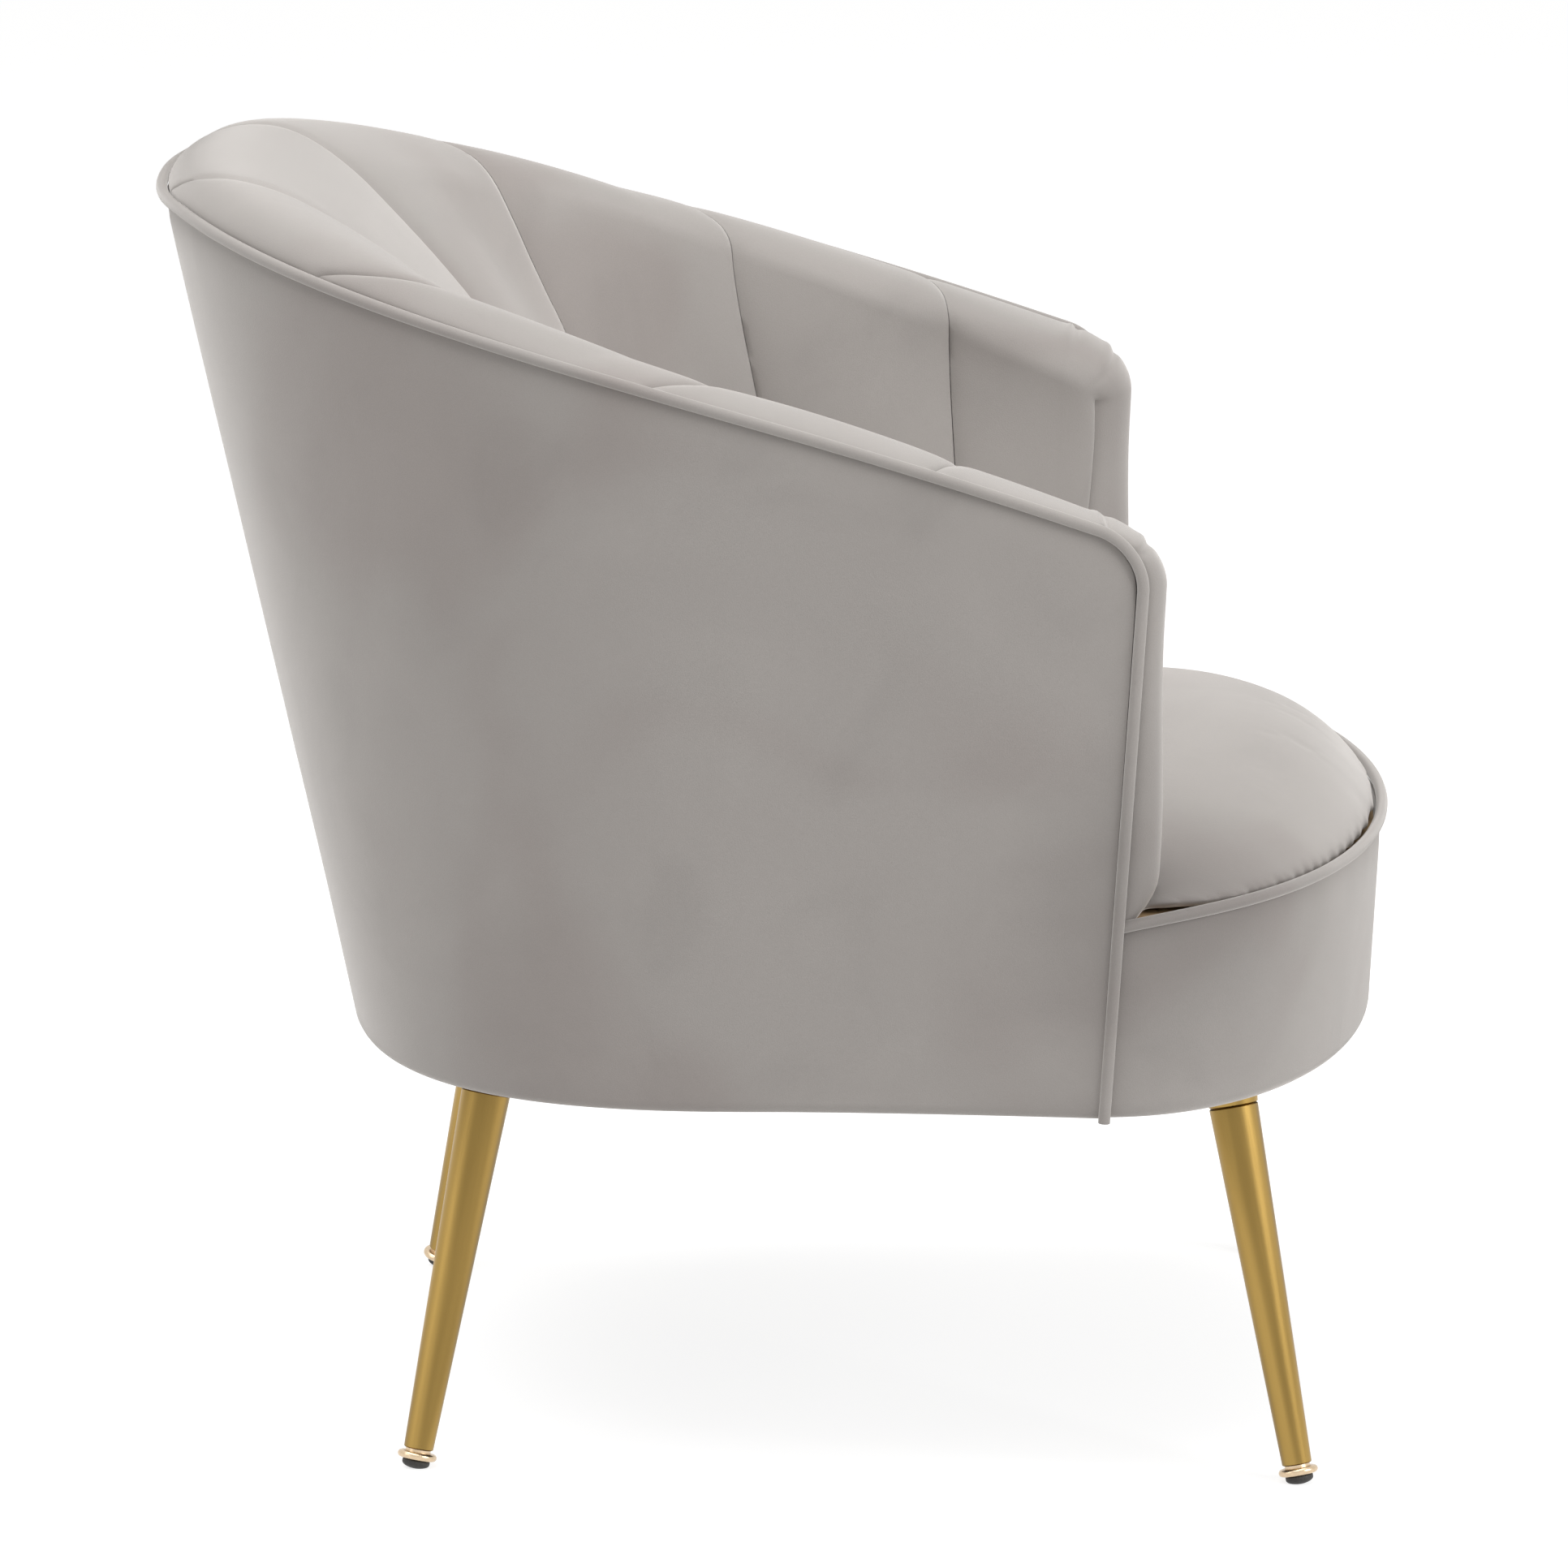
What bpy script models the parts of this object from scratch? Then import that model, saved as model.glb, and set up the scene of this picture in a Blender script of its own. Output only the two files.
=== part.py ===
"""Channel-back tub armchair on four splayed metal legs with screw-adjustable feet.

Metres, +Z up. The sitter faces -Y and the sitter's left is +X. The origin is on the floor
under the middle of the chair. A place round the tub is a share: 0 at the middle of the back,
+1 at the left arm front and -1 at the right arm front.
"""

import functools
import math

import bmesh
import bpy
import numpy as np
from mathutils import Matrix, Vector

# Clearances
FIT_GAP = 0.0003
RAIL_GAP = 0.0004
SKIN_GAP = 0.0012
SEAM_GAP = 0.0006

# Heights
BODY_BOTTOM_Z = 0.2405
DECK_Z = 0.3636
RIM_BACK_Z = 0.7585
RIM_FRONT_Z = 0.5944
RIM_LEVEL_SHARE = 0.15
RIM_FALL_POWER = 1.48

# Outer plan of the tub, at its rim and at its bottom edge
RIM_HALF_WIDTH = 0.372
RIM_BACK_Y = 0.380
RIM_FRONT_Y = -0.2195
RIM_POWER = 2.2
BASE_TAPER = 0.038
BASE_FLARE = 0.017
BASE_BACK_TAPER = 0.118
BASE_FRONT_SETBACK = 0.0225
BASE_HALF_WIDTH = RIM_HALF_WIDTH - BASE_TAPER
BASE_FRONT_HALF_WIDTH = BASE_HALF_WIDTH + BASE_FLARE
BASE_BACK_Y = RIM_BACK_Y - BASE_BACK_TAPER
BASE_FRONT_Y = RIM_FRONT_Y + BASE_FRONT_SETBACK
BASE_POWER = 2.7
CORNER_RADIUS = 0.028

# Padding of the tub
ARM_THICKNESS = 0.0665
BACK_THICKNESS = 0.114
SHOULDER_POWER = 2.53
FRONT_WRAP = 0.012
SEAT_WALL = 0.072
SEAT_FLARE = 0.004
SEAT_BACK_WALL = 0.155
SEAT_HALF_WIDTH = BASE_HALF_WIDTH - SEAT_WALL
SEAT_FRONT_HALF_WIDTH = SEAT_HALF_WIDTH + SEAT_FLARE
SEAT_BACK_Y = BASE_BACK_Y - SEAT_BACK_WALL
SEAT_POWER = 1.67
BACK_PAD_THICKNESS = 0.040
SHOULDER_DROP = 0.0197
BACK_LEAN_DEG = 47.4
ARM_LEAN_DEG = -1.6
BACK_SWELL = 0.0118
ARM_SWELL = 0.0038
FRONT_SWELL = 0.025
FRONT_GROWTH = 0.0135
FRONT_GROWTH_FROM = 0.2
FRONT_GROWTH_TO = 0.85
BACK_ROLL_REACH = 0.0974
ARM_ROLL_REACH = 0.0349
BACK_FACE_REACH = 0.175
ARM_FACE_REACH = 0.060
BACK_SEAT_REACH = 0.196
ARM_SEAT_REACH = 0.080
FACE_TOE = 0.004
CHANNEL_CROWN = 0.010
CHANNEL_CROWN_POWER = 2.4
SEAT_CROWN_SHARE = 0.6
CROWN_GROWTH = 4.57
RIM_SEAMS = (0.085, 0.365, 0.637, 0.845)
FACE_SEAMS = (0.171, 0.420, 0.652, 0.860)
SEAM_TURN_END = 0.8
BLEND_END_SHARE = 0.576
BLEND_POWER = 1.735
LEAN_END_SHARE = 0.857
LEAN_POWER = 2.66

# Piping and covers
PIPING_RADIUS = 0.0032
PIPING_CLEARANCE = 0.0045
PIPING_TAIL = 0.001
COVER_THICKNESS = 0.0035
COVER_TURN_RADIUS = 0.008
COVER_LIP = 0.030
DUST_COVER_THICKNESS = 0.0012
DUST_COVER_INSET = 0.018

# Seat
BORDER_STEP = 0.0035
BORDER_FRONT_BASE_Y = -0.372
BORDER_FRONT_TOP_Y = -0.3791
SEAT_PIPING_DROP = 0.0036
SEAT_PIPING_END_Z = DECK_Z - SEAT_PIPING_DROP
SEAT_PIPING_RISE = 0.0105
SEAT_PIPING_POWER = 6
SEAT_PIPING_SWEEP_DEG = 88.0
PAD_LIFT = 0.0036
CUSHION_CROWN_RISE = 0.0654
CUSHION_TOP_Z = DECK_Z + CUSHION_CROWN_RISE
CUSHION_SIDE_FALL = 0.45
CUSHION_WALL_RISE = 0.0324
CUSHION_WALL_Z = DECK_Z + CUSHION_WALL_RISE
CUSHION_INSET = 0.0035
CUSHION_TUCK = 0.0017
CUSHION_SHOULDER = 0.125
CUSHION_WALL_SHOULDER = 0.090
CUSHION_PROFILE_POWER = 3.2
CUSHION_CENTRE_Y = -0.260

# Frame
RAIL_WIDTH = 0.024
RAIL_HEIGHT = 0.020
RAIL_BELOW_SHOULDER = 0.0060
RAIL_DROP = SHOULDER_DROP + RAIL_BELOW_SHOULDER
LINING_THICKNESS = 0.003
LINING_END_SHARE = 0.91
RIB_HALF_WIDTH = 0.011
ARM_POST_HALF_WIDTH = 0.014
ARM_POST_SHARE = 0.953
RIB_SHARES = (0.30, 0.60)
PLYWOOD = 0.018
SEAT_RING_WIDTH = 0.057
SEAT_OPENING_Y = -0.125
SEAT_OPENING = (SEAT_HALF_WIDTH - SEAT_RING_WIDTH, 0.155)
BASE_RING_WIDTH = 0.164
BASE_OPENING_Y = -0.050
BASE_OPENING = (BASE_HALF_WIDTH - BASE_RING_WIDTH, 0.170)
OPENING_POWER = 4.0
WEBBING_WIDTH = 0.050
WEBBING_THICKNESS = 0.002
WEBBING_OVERLAP = 0.030
WEBBING_PITCH = 0.078
WEBBING_COUNT = 5
BLOCK_SIZE = 0.050
BLOCK_SHIFT = 0.010
SPACER_LENGTH = 0.060
SPACER_WIDTH = 0.022
SPACER_INSET = 0.022

# Legs and feet
FOOT_FRONT_INSET = 0.0604
FOOT_FRONT_SETBACK = 0.0523
FOOT_REAR_INSET = 0.0794
FOOT_REAR_SETBACK = 0.0412
FOOT_FRONT = (BASE_FRONT_HALF_WIDTH - FOOT_FRONT_INSET, BORDER_FRONT_BASE_Y + FOOT_FRONT_SETBACK)
FOOT_REAR = (BASE_HALF_WIDTH - FOOT_REAR_INSET, BASE_BACK_Y - FOOT_REAR_SETBACK)
LEG_SPREAD_DEG = 10.2
LEG_SPLAY_FRONT_DEG = 10.26
LEG_SPLAY_REAR_DEG = 10.92
LEG_TOP_RADIUS = 0.0150
LEG_BOTTOM_RADIUS = 0.0091
LEG_TOP_DROP = 0.0143
LEG_TOP_Z = BODY_BOTTOM_Z - LEG_TOP_DROP
LEG_WALL = 0.0015
LEG_BOTTOM_PLUG = 0.016
LEG_TOP_PLUG = 0.012
THREAD_RADIUS = 0.0040
THREAD_CLEARANCE = 0.0004
STEM_LENGTH = 0.0246
HUB_RADIUS = 0.0078
HUB_HEIGHT = 0.0017
FLANGE_RADIUS = 0.0121
FLANGE_HEIGHT = 0.0046
PAD_RADIUS = 0.0085
PAD_HEIGHT = 0.0056
PAD_DOME_HEIGHT = 0.0036
PAD_FLAT_DEPTH = 0.0006
PAD_PIN_RADIUS = 0.0025
PAD_PIN_LENGTH = 0.0027
PAD_PIN_CLEARANCE = 0.0003
PLATE_RADIUS = 0.027
PLATE_THICKNESS = 0.003
BOSS_RADIUS = 0.0190
BOSS_FACE_RADIUS = 0.0165
STUD_DEPTH = 0.010
STUD_REACH = 0.0110

# Mesh density
PLAN_SAMPLES = 400
CHANNEL_COLUMNS = 6
CORNER_TURNS_DEG = (0.0, 30.0, 60.0, 90.0)
ROLL_ROWS = 7
FACE_ROWS = 6
WALL_ROWS = 3
BORDER_COLUMNS = 20
TURN_SEGMENTS = 20
CUSHION_RINGS = (0.0, 0.05, 0.14, 0.28, 0.48, 0.74)

UP = np.array((0.0, 0.0, 1.0))
SHARE_STEP = 1e-3

VELVET = ("velvet", (0.352, 0.314, 0.287), 0.85, 0.0)
PLY = ("plywood", (0.58, 0.40, 0.22), 0.7, 0.0)
FIBREBOARD = ("fibreboard", (0.33, 0.22, 0.13), 0.8, 0.0)
WEBBING = ("webbing", (0.10, 0.10, 0.11), 0.9, 0.0)
DUST_CLOTH = ("dust_cloth", (0.02, 0.02, 0.02), 0.95, 0.0)
BRASS = ("brushed_brass", (0.60, 0.41, 0.17), 0.32, 1.0)
PALE_BRASS = ("pale_brass", (0.68, 0.52, 0.34), 0.28, 1.0)
STEEL = ("zinc_steel", (0.55, 0.55, 0.56), 0.4, 1.0)
BLACK_STEEL = ("black_steel", (0.045, 0.042, 0.040), 0.45, 1.0)
RUBBER = ("black_rubber", (0.03, 0.028, 0.026), 0.7, 0.0)


# Small helpers

def ease(low, high, value):
    """Go smoothly from 0 at low to 1 at high."""
    part = min(max((value - low) / (high - low), 0.0), 1.0)
    return part * part * (3 - 2 * part)


def back_to_arm(back, arm, share, end=BLEND_END_SHARE, power=BLEND_POWER):
    """A size that has one value at the back and another along the arms."""
    part = min(abs(share) / end, 1.0) ** power
    return back + (arm - back) * part


def bezier(a, b, c, d, steps):
    """Points along a cubic curve, both ends included."""
    t = np.linspace(0.0, 1.0, steps + 1)[:, None]
    return (1 - t) ** 3 * a + 3 * (1 - t) ** 2 * t * b + 3 * (1 - t) * t ** 2 * c + t ** 3 * d


# Plans of the tub

class Plan:
    """Half of a tub outline seen from above: a superellipse round the back, then an arm."""

    def __init__(self, half_width, back_y, power, front_half_width, front_y):
        angle = np.linspace(0.0, math.pi / 2, PLAN_SAMPLES)
        round_x = half_width * np.sin(angle) ** (2 / power)
        round_y = back_y * np.cos(angle) ** (2 / power)
        arm_y = np.linspace(0.0, front_y, PLAN_SAMPLES)[1:]
        arm_x = half_width + (front_half_width - half_width) * (arm_y / front_y) ** 1.5
        self.x = np.concatenate((round_x, arm_x))
        self.y = np.concatenate((round_y, arm_y))
        run = np.cumsum(np.hypot(np.diff(self.x), np.diff(self.y)))
        self.length = run[-1]
        self.share = np.concatenate(((0.0,), run / run[-1]))

    def point(self, share, z):
        x = np.interp(abs(share), self.share, self.x)
        y = np.interp(abs(share), self.share, self.y)
        return np.array((math.copysign(x, share), y, z))


RIM = Plan(RIM_HALF_WIDTH, RIM_BACK_Y, RIM_POWER, RIM_HALF_WIDTH, RIM_FRONT_Y)
BASE = Plan(BASE_HALF_WIDTH, BASE_BACK_Y, BASE_POWER, BASE_FRONT_HALF_WIDTH, BASE_FRONT_Y)
SHOULDER = Plan(
    RIM_HALF_WIDTH - ARM_THICKNESS,
    RIM_BACK_Y - BACK_THICKNESS,
    SHOULDER_POWER,
    RIM_HALF_WIDTH - ARM_THICKNESS,
    RIM_FRONT_Y + FRONT_WRAP,
)


def rim_z(share):
    """Height of the rim: level across the back, then falling to the arm fronts."""
    run = max(0.0, abs(share) - RIM_LEVEL_SHARE) / (1 - RIM_LEVEL_SHARE)
    return RIM_BACK_Z + (RIM_FRONT_Z - RIM_BACK_Z) * run ** RIM_FALL_POWER


def outer(share, z):
    """A point of the tub's outside, which is ruled from its bottom edge to its rim."""
    part = (z - BODY_BOTTOM_Z) / (rim_z(share) - BODY_BOTTOM_Z)
    point = BASE.point(share, z) * (1 - part) + RIM.point(share, z) * part
    point[2] = z
    return point


def along(share, z):
    """Unit vector along the outside towards +share, level."""
    step = outer(min(share + SHARE_STEP, 1.0), z) - outer(max(share - SHARE_STEP, -1.0), z)
    return step / np.linalg.norm(step)


def inward_at(share, z):
    """Unit vector from the outside towards the sitter, level."""
    tangent = along(share, z)
    return np.array((tangent[1], -tangent[0], 0.0))


def forward_at(share, z):
    """Unit vector along the outside towards the nearer arm front, level."""
    return along(share, z) * math.copysign(1.0, share)


SEAT_LINE = Plan(
    SEAT_HALF_WIDTH,
    SEAT_BACK_Y,
    SEAT_POWER,
    SEAT_FRONT_HALF_WIDTH,
    outer(1.0, DECK_Z)[1] + FRONT_WRAP,
)
CORNER_SHARE = 1 - CORNER_RADIUS / RIM.length
FRAME_DEPTH = COVER_THICKNESS + 2 * SKIN_GAP + RAIL_WIDTH + LINING_THICKNESS + FIT_GAP
ARM_PAD_THICKNESS = ARM_THICKNESS - FRAME_DEPTH


def turned_share(turn):
    """Share of the rim's rounded front corner after it has turned by this angle."""
    return 1 - CORNER_RADIUS * (1 - math.sin(turn)) / RIM.length


def half_stations():
    """Columns from the middle of the back to the corner: shares at the rim and on the face."""
    rim_stops = (0.0,) + RIM_SEAMS + (CORNER_SHARE,)
    face_stops = (0.0,) + FACE_SEAMS + (CORNER_SHARE,)
    stations = []
    for index in range(len(rim_stops) - 1):
        inner = 0 < index < len(RIM_SEAMS)
        steps = CHANNEL_COLUMNS if inner else CHANNEL_COLUMNS // 2
        rim = np.linspace(rim_stops[index], rim_stops[index + 1], steps + 1)[:-1]
        face = np.linspace(face_stops[index], face_stops[index + 1], steps + 1)[:-1]
        stations += list(zip(rim, face))
    return stations


def rim_columns(setback):
    """Columns (share, top height) of the tub's edge, set back from the piping's middle."""
    half = [(share, rim_z(share) - setback) for share, _ in half_stations()]
    for degrees in CORNER_TURNS_DEG:
        turn = math.radians(degrees)
        share = turned_share(turn)
        top = rim_z(share) - CORNER_RADIUS * (1 - math.cos(turn)) - setback * math.cos(turn)
        half.append((share - setback * math.sin(turn) / RIM.length, top))
    right = [(-share, top) for share, top in reversed(half[1:])]
    return right + half


# Seat outline

def seat_piping_z(sweep):
    """Height of the seat piping: low under the arms and lifted by the cushion between."""
    part = abs(sweep) / (math.pi / 2)
    return SEAT_PIPING_END_Z + SEAT_PIPING_RISE * (1 - part ** SEAT_PIPING_POWER)


def border(sweep, z, inset=0.0):
    """A point of the seat's bowed front; the sweep runs from -90 to 90 degrees."""
    end = outer(1.0, z)
    half_width = end[0] - BORDER_STEP
    start_y = end[1] - PIPING_CLEARANCE
    part = (z - BODY_BOTTOM_Z) / (DECK_Z - BODY_BOTTOM_Z)
    front_y = BORDER_FRONT_BASE_Y + (BORDER_FRONT_TOP_Y - BORDER_FRONT_BASE_Y) * part
    depth = start_y - front_y
    across = half_width * math.sin(sweep)
    normal = np.array((math.sin(sweep) * depth, -math.cos(sweep) * half_width, 0.0))
    point = np.array((across, start_y - depth * math.cos(sweep), z))
    return point - normal / np.linalg.norm(normal) * inset


def border_sweeps(limit=math.pi / 2):
    return np.linspace(-limit, limit, BORDER_COLUMNS + 1)


def seat_outline(z, inset):
    """Closed outline of the whole seat box, inset from its skin, anticlockwise from above."""
    points = []
    for share, _ in reversed(rim_columns(0.0)):
        points.append(outer(share, z) + inward_at(share, z) * inset)
    for sweep in border_sweeps():
        points.append(border(sweep, z, inset))
    return np.array(points)


def opening_outline(outline, half_sizes, centre_y):
    """Superellipse opening with one point for each point of the outline round it."""
    points = []
    for x, y, z in outline:
        angle = math.atan2(y - centre_y, x)
        across = abs(math.cos(angle) / half_sizes[0]) ** OPENING_POWER
        deep = abs(math.sin(angle) / half_sizes[1]) ** OPENING_POWER
        reach = (across + deep) ** (-1 / OPENING_POWER)
        points.append((reach * math.cos(angle), centre_y + reach * math.sin(angle), z))
    return np.array(points)


# Blender objects

def start_scene():
    for item in list(bpy.data.objects):
        bpy.data.objects.remove(item)


def material(finish):
    name, colour, roughness, metallic = finish
    made = bpy.data.materials.get(name)
    if made is None:
        made = bpy.data.materials.new(name)
        made.use_nodes = True
        shader = made.node_tree.nodes["Principled BSDF"]
        shader.inputs["Base Color"].default_value = (*colour, 1.0)
        shader.inputs["Roughness"].default_value = roughness
        shader.inputs["Metallic"].default_value = metallic
    return made


def add_object(name, data, finish):
    """Link a new object for a mesh or a curve, with its own finish."""
    item = bpy.data.objects.new(name, data)
    bpy.context.collection.objects.link(item)
    data.materials.append(material(finish))
    return item


def mesh_object(name, bm, finish, sharp_deg=40.0):
    """Turn a bmesh into a smooth-shaded object whose faces point out."""
    bmesh.ops.recalc_face_normals(bm, faces=bm.faces[:])
    mesh = bpy.data.meshes.new(name)
    bm.to_mesh(mesh)
    bm.free()
    mesh.shade_smooth()
    mesh.set_sharp_from_angle(angle=math.radians(sharp_deg))
    return add_object(name, mesh, finish)


def guide(item):
    """Keep a cutter or a boss out of the part: it only serves a modifier."""
    item.hide_render = True
    item.display_type = "WIRE"
    return item


def boolean(item, operand, operation):
    modifier = item.modifiers.new(operation.lower(), "BOOLEAN")
    modifier.operation = operation
    modifier.object = operand


# Mesh builders

def add_loop(bm, points):
    return [bm.verts.new(point) for point in points]


def bridge(bm, first, second):
    """Quads between two closed rows of vertices."""
    count = len(first)
    for i in range(count):
        j = (i + 1) % count
        bm.faces.new((first[i], first[j], second[j], second[i]))


def loft(name, sections, finish, sharp_deg=40.0):
    """Solid through a row of closed sections, capped at both ends."""
    bm = bmesh.new()
    rings = [add_loop(bm, section) for section in sections]
    for first, second in zip(rings[:-1], rings[1:]):
        bridge(bm, first, second)
    bm.faces.new(rings[0])
    bm.faces.new(rings[-1])
    return mesh_object(name, bm, finish, sharp_deg)


def ring_plate(name, bottom, top, opening, finish):
    """Flat plate with an opening, whose outer edge may lean."""
    bm = bmesh.new()
    inner_bottom = opening.copy()
    inner_top = opening.copy()
    inner_bottom[:, 2] = bottom[0, 2]
    inner_top[:, 2] = top[0, 2]
    rings = [add_loop(bm, loop) for loop in (bottom, top, inner_top, inner_bottom)]
    for first, second in zip(rings, rings[1:] + rings[:1]):
        bridge(bm, first, second)
    return mesh_object(name, bm, finish)


def padded_solid(name, front, back, faces, crown, finish):
    """Solid between two sheets of one pattern; the front one is crowned along its normals."""
    bm = bmesh.new()
    front_verts = add_loop(bm, front)
    for face in faces:
        bm.faces.new([front_verts[i] for i in face])
    bm.normal_update()
    depth = front - back
    facing = sum(float(np.dot(depth[i], v.normal)) for i, v in enumerate(front_verts))
    outward = math.copysign(1.0, facing)
    moves = [v.normal * (outward * crown[i]) for i, v in enumerate(front_verts)]
    edges = [edge for edge in bm.edges if len(edge.link_faces) == 1]
    bm.verts.index_update()
    rims = [sorted((edge.verts[0].index, edge.verts[1].index)) for edge in edges]
    for vertex, move in zip(front_verts, moves):
        vertex.co += move
    back_verts = add_loop(bm, back)
    for face in faces:
        bm.faces.new([back_verts[i] for i in reversed(face)])
    for low, high in rims:
        bm.faces.new((front_verts[low], front_verts[high], back_verts[high]))
        bm.faces.new((front_verts[low], back_verts[high], back_verts[low]))
    return mesh_object(name, bm, finish, 60.0)


def grid_faces(shares, rows):
    """Triangles of a grid whose points run down a column for each share in turn.

    Each quad is cut from its upper corner on the side of the tub's middle, so that sheets
    that lie against each other have parallel facets on both sides of the chair.
    """
    faces = []
    for column in range(len(shares) - 1):
        leaving = abs(shares[column]) < abs(shares[column + 1])
        for row in range(rows - 1):
            a = column * rows + row
            b, c, d = a + 1, a + rows + 1, a + rows
            if leaving:
                faces += [(a, b, c), (a, c, d)]
            else:
                faces += [(a, b, d), (b, c, d)]
    return faces


def turned(name, profile, finish, closed=False, segments=TURN_SEGMENTS):
    """Spin a profile of (radius, height) points round the local Z axis."""
    bm = bmesh.new()
    verts = add_loop(bm, [(radius, 0.0, height) for radius, height in profile])
    pairs = list(zip(verts[:-1], verts[1:]))
    if closed:
        pairs.append((verts[-1], verts[0]))
    edges = [bm.edges.new(pair) for pair in pairs]
    bmesh.ops.spin(
        bm,
        geom=verts + edges,
        axis=(0, 0, 1),
        cent=(0, 0, 0),
        angle=2 * math.pi,
        steps=segments,
        use_merge=True,
    )
    bmesh.ops.remove_doubles(bm, verts=bm.verts[:], dist=1e-5)
    return mesh_object(name, bm, finish)


def block(name, centre, size, finish):
    """Plain block by its centre and its three sizes."""
    bm = bmesh.new()
    bmesh.ops.create_cube(bm, size=1.0, matrix=Matrix.Diagonal((*size, 1.0)))
    item = mesh_object(name, bm, finish)
    item.location = centre
    return item


def piping(name, path, finish=VELVET):
    """Round cord along a path, with closed ends."""
    curve = bpy.data.curves.new(name, "CURVE")
    curve.dimensions = "3D"
    curve.bevel_depth = PIPING_RADIUS
    curve.bevel_resolution = 1
    curve.use_fill_caps = True
    spline = curve.splines.new("POLY")
    spline.points.add(len(path) - 1)
    for point, place in zip(spline.points, path):
        point.co = (*place, 1.0)
    return add_object(name, curve, finish)


# Padding of the tub

def pad_bottom(share):
    """Underside of the padding, lifted over the ends of the seat piping."""
    run = ease(FACE_SEAMS[-1], CORNER_SHARE, abs(share))
    return DECK_Z + FIT_GAP + PAD_LIFT * run


def roll(edge, shoulder, inward, lift, lean, swell, reach):
    """Front curve of the roll, from beside the piping over its crest to the shoulder."""
    start = edge + inward * (PIPING_RADIUS + SKIN_GAP) + lift * PIPING_RADIUS / 2
    first = edge + inward * PIPING_RADIUS + lift * swell
    rise = lift * math.cos(lean) - inward * math.sin(lean)
    return bezier(start, first, shoulder + rise * reach, shoulder, ROLL_ROWS)


def roll_back(edge, below, back_shoulder, inward, lift):
    """Underside of the roll, straight from the piping to the frame's inner side."""
    lean_in = max(float(np.dot(below - edge, inward)), 0.0)
    start = edge + inward * (COVER_THICKNESS + SKIN_GAP + lean_in) - lift * 2 * PIPING_RADIUS
    part = np.linspace(0.0, 1.0, ROLL_ROWS + 1)[:, None]
    return start * (1 - part) + back_shoulder * part


@functools.cache
def pad_section(share, turn=0.0):
    """Section of the padding: its front points and its back points, top to bottom."""
    top = rim_z(share) - CORNER_RADIUS * (1 - math.cos(turn))
    edge = outer(share, top)
    inward = inward_at(share, top)
    lift = math.cos(turn) * UP + math.sin(turn) * forward_at(share, top)
    lean_deg = back_to_arm(BACK_LEAN_DEG, ARM_LEAN_DEG, share, LEAN_END_SHARE, LEAN_POWER)
    lean = math.radians(lean_deg)
    fall = (CORNER_RADIUS - SHOULDER_DROP) * (1 - math.cos(turn))
    shoulder = SHOULDER.point(share, rim_z(share) - SHOULDER_DROP - fall)
    seat = SEAT_LINE.point(share, pad_bottom(share))
    round_front = math.sin(turn) ** 2
    swell = back_to_arm(BACK_SWELL, ARM_SWELL, share) * (1 - round_front)
    reach = back_to_arm(BACK_ROLL_REACH, ARM_ROLL_REACH, share) * (1 - round_front)
    swell += FRONT_SWELL * round_front
    reach += FRONT_SWELL * round_front
    over = roll(edge, shoulder, inward, lift, lean, swell, reach)
    down = inward * math.sin(lean) - UP * math.cos(lean)
    first = shoulder + down * back_to_arm(BACK_FACE_REACH, ARM_FACE_REACH, share)
    rise = UP * back_to_arm(BACK_SEAT_REACH, ARM_SEAT_REACH, share)
    face = bezier(shoulder, first, seat + rise - inward * FACE_TOE, seat, FACE_ROWS)
    thickness = back_to_arm(BACK_PAD_THICKNESS, ARM_PAD_THICKNESS, share)
    back_face = face - inward * thickness
    below = outer(share, top - 2 * PIPING_RADIUS)
    under = roll_back(edge, below, back_face[0], inward, lift)
    return np.vstack((over, face[1:])), np.vstack((under, back_face[1:]))


def pad_column(rim_share, face_share, turn=0.0):
    """Column of the padding that leaves the rim at one share and runs down at another."""
    front = []
    back = []
    for row in range(ROLL_ROWS + FACE_ROWS + 1):
        part = ease(0.0, SEAM_TURN_END, row / ROLL_ROWS)
        section = pad_section(rim_share + (face_share - rim_share) * part, turn)
        front.append(section[0][row])
        back.append(section[1][row])
    return np.array(front), np.array(back)


def front_column(side, shoulder, back_shoulder):
    """One row of the padding that wraps an arm front, from the piping to the shoulder."""
    z = shoulder[2]
    edge = outer(side, z)
    inward = inward_at(side, z)
    forward = forward_at(side, z)
    lean = math.radians(ARM_LEAN_DEG)
    drop = (RIM_FRONT_Z - z) / (RIM_FRONT_Z - DECK_Z)
    swell = FRONT_SWELL + FRONT_GROWTH * ease(FRONT_GROWTH_FROM, FRONT_GROWTH_TO, drop)
    over = roll(edge, shoulder, inward, forward, lean, swell, swell)
    return over[:-1], roll_back(edge, edge, back_shoulder, inward, forward)[:-1]


def crowns(count):
    """Swelling of each point of a channel: none at its seams and piping, less at the seat."""
    roll_part = (np.arange(ROLL_ROWS) / ROLL_ROWS) ** CROWN_GROWTH
    face_part = np.linspace(1.0, SEAT_CROWN_SHARE, FACE_ROWS + 1)
    heights = []
    for across in np.linspace(-1.0, 1.0, count):
        middle = CHANNEL_CROWN * (1 - abs(across) ** CHANNEL_CROWN_POWER)
        heights += list(middle * np.concatenate((roll_part, face_part)))
    return heights


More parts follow.
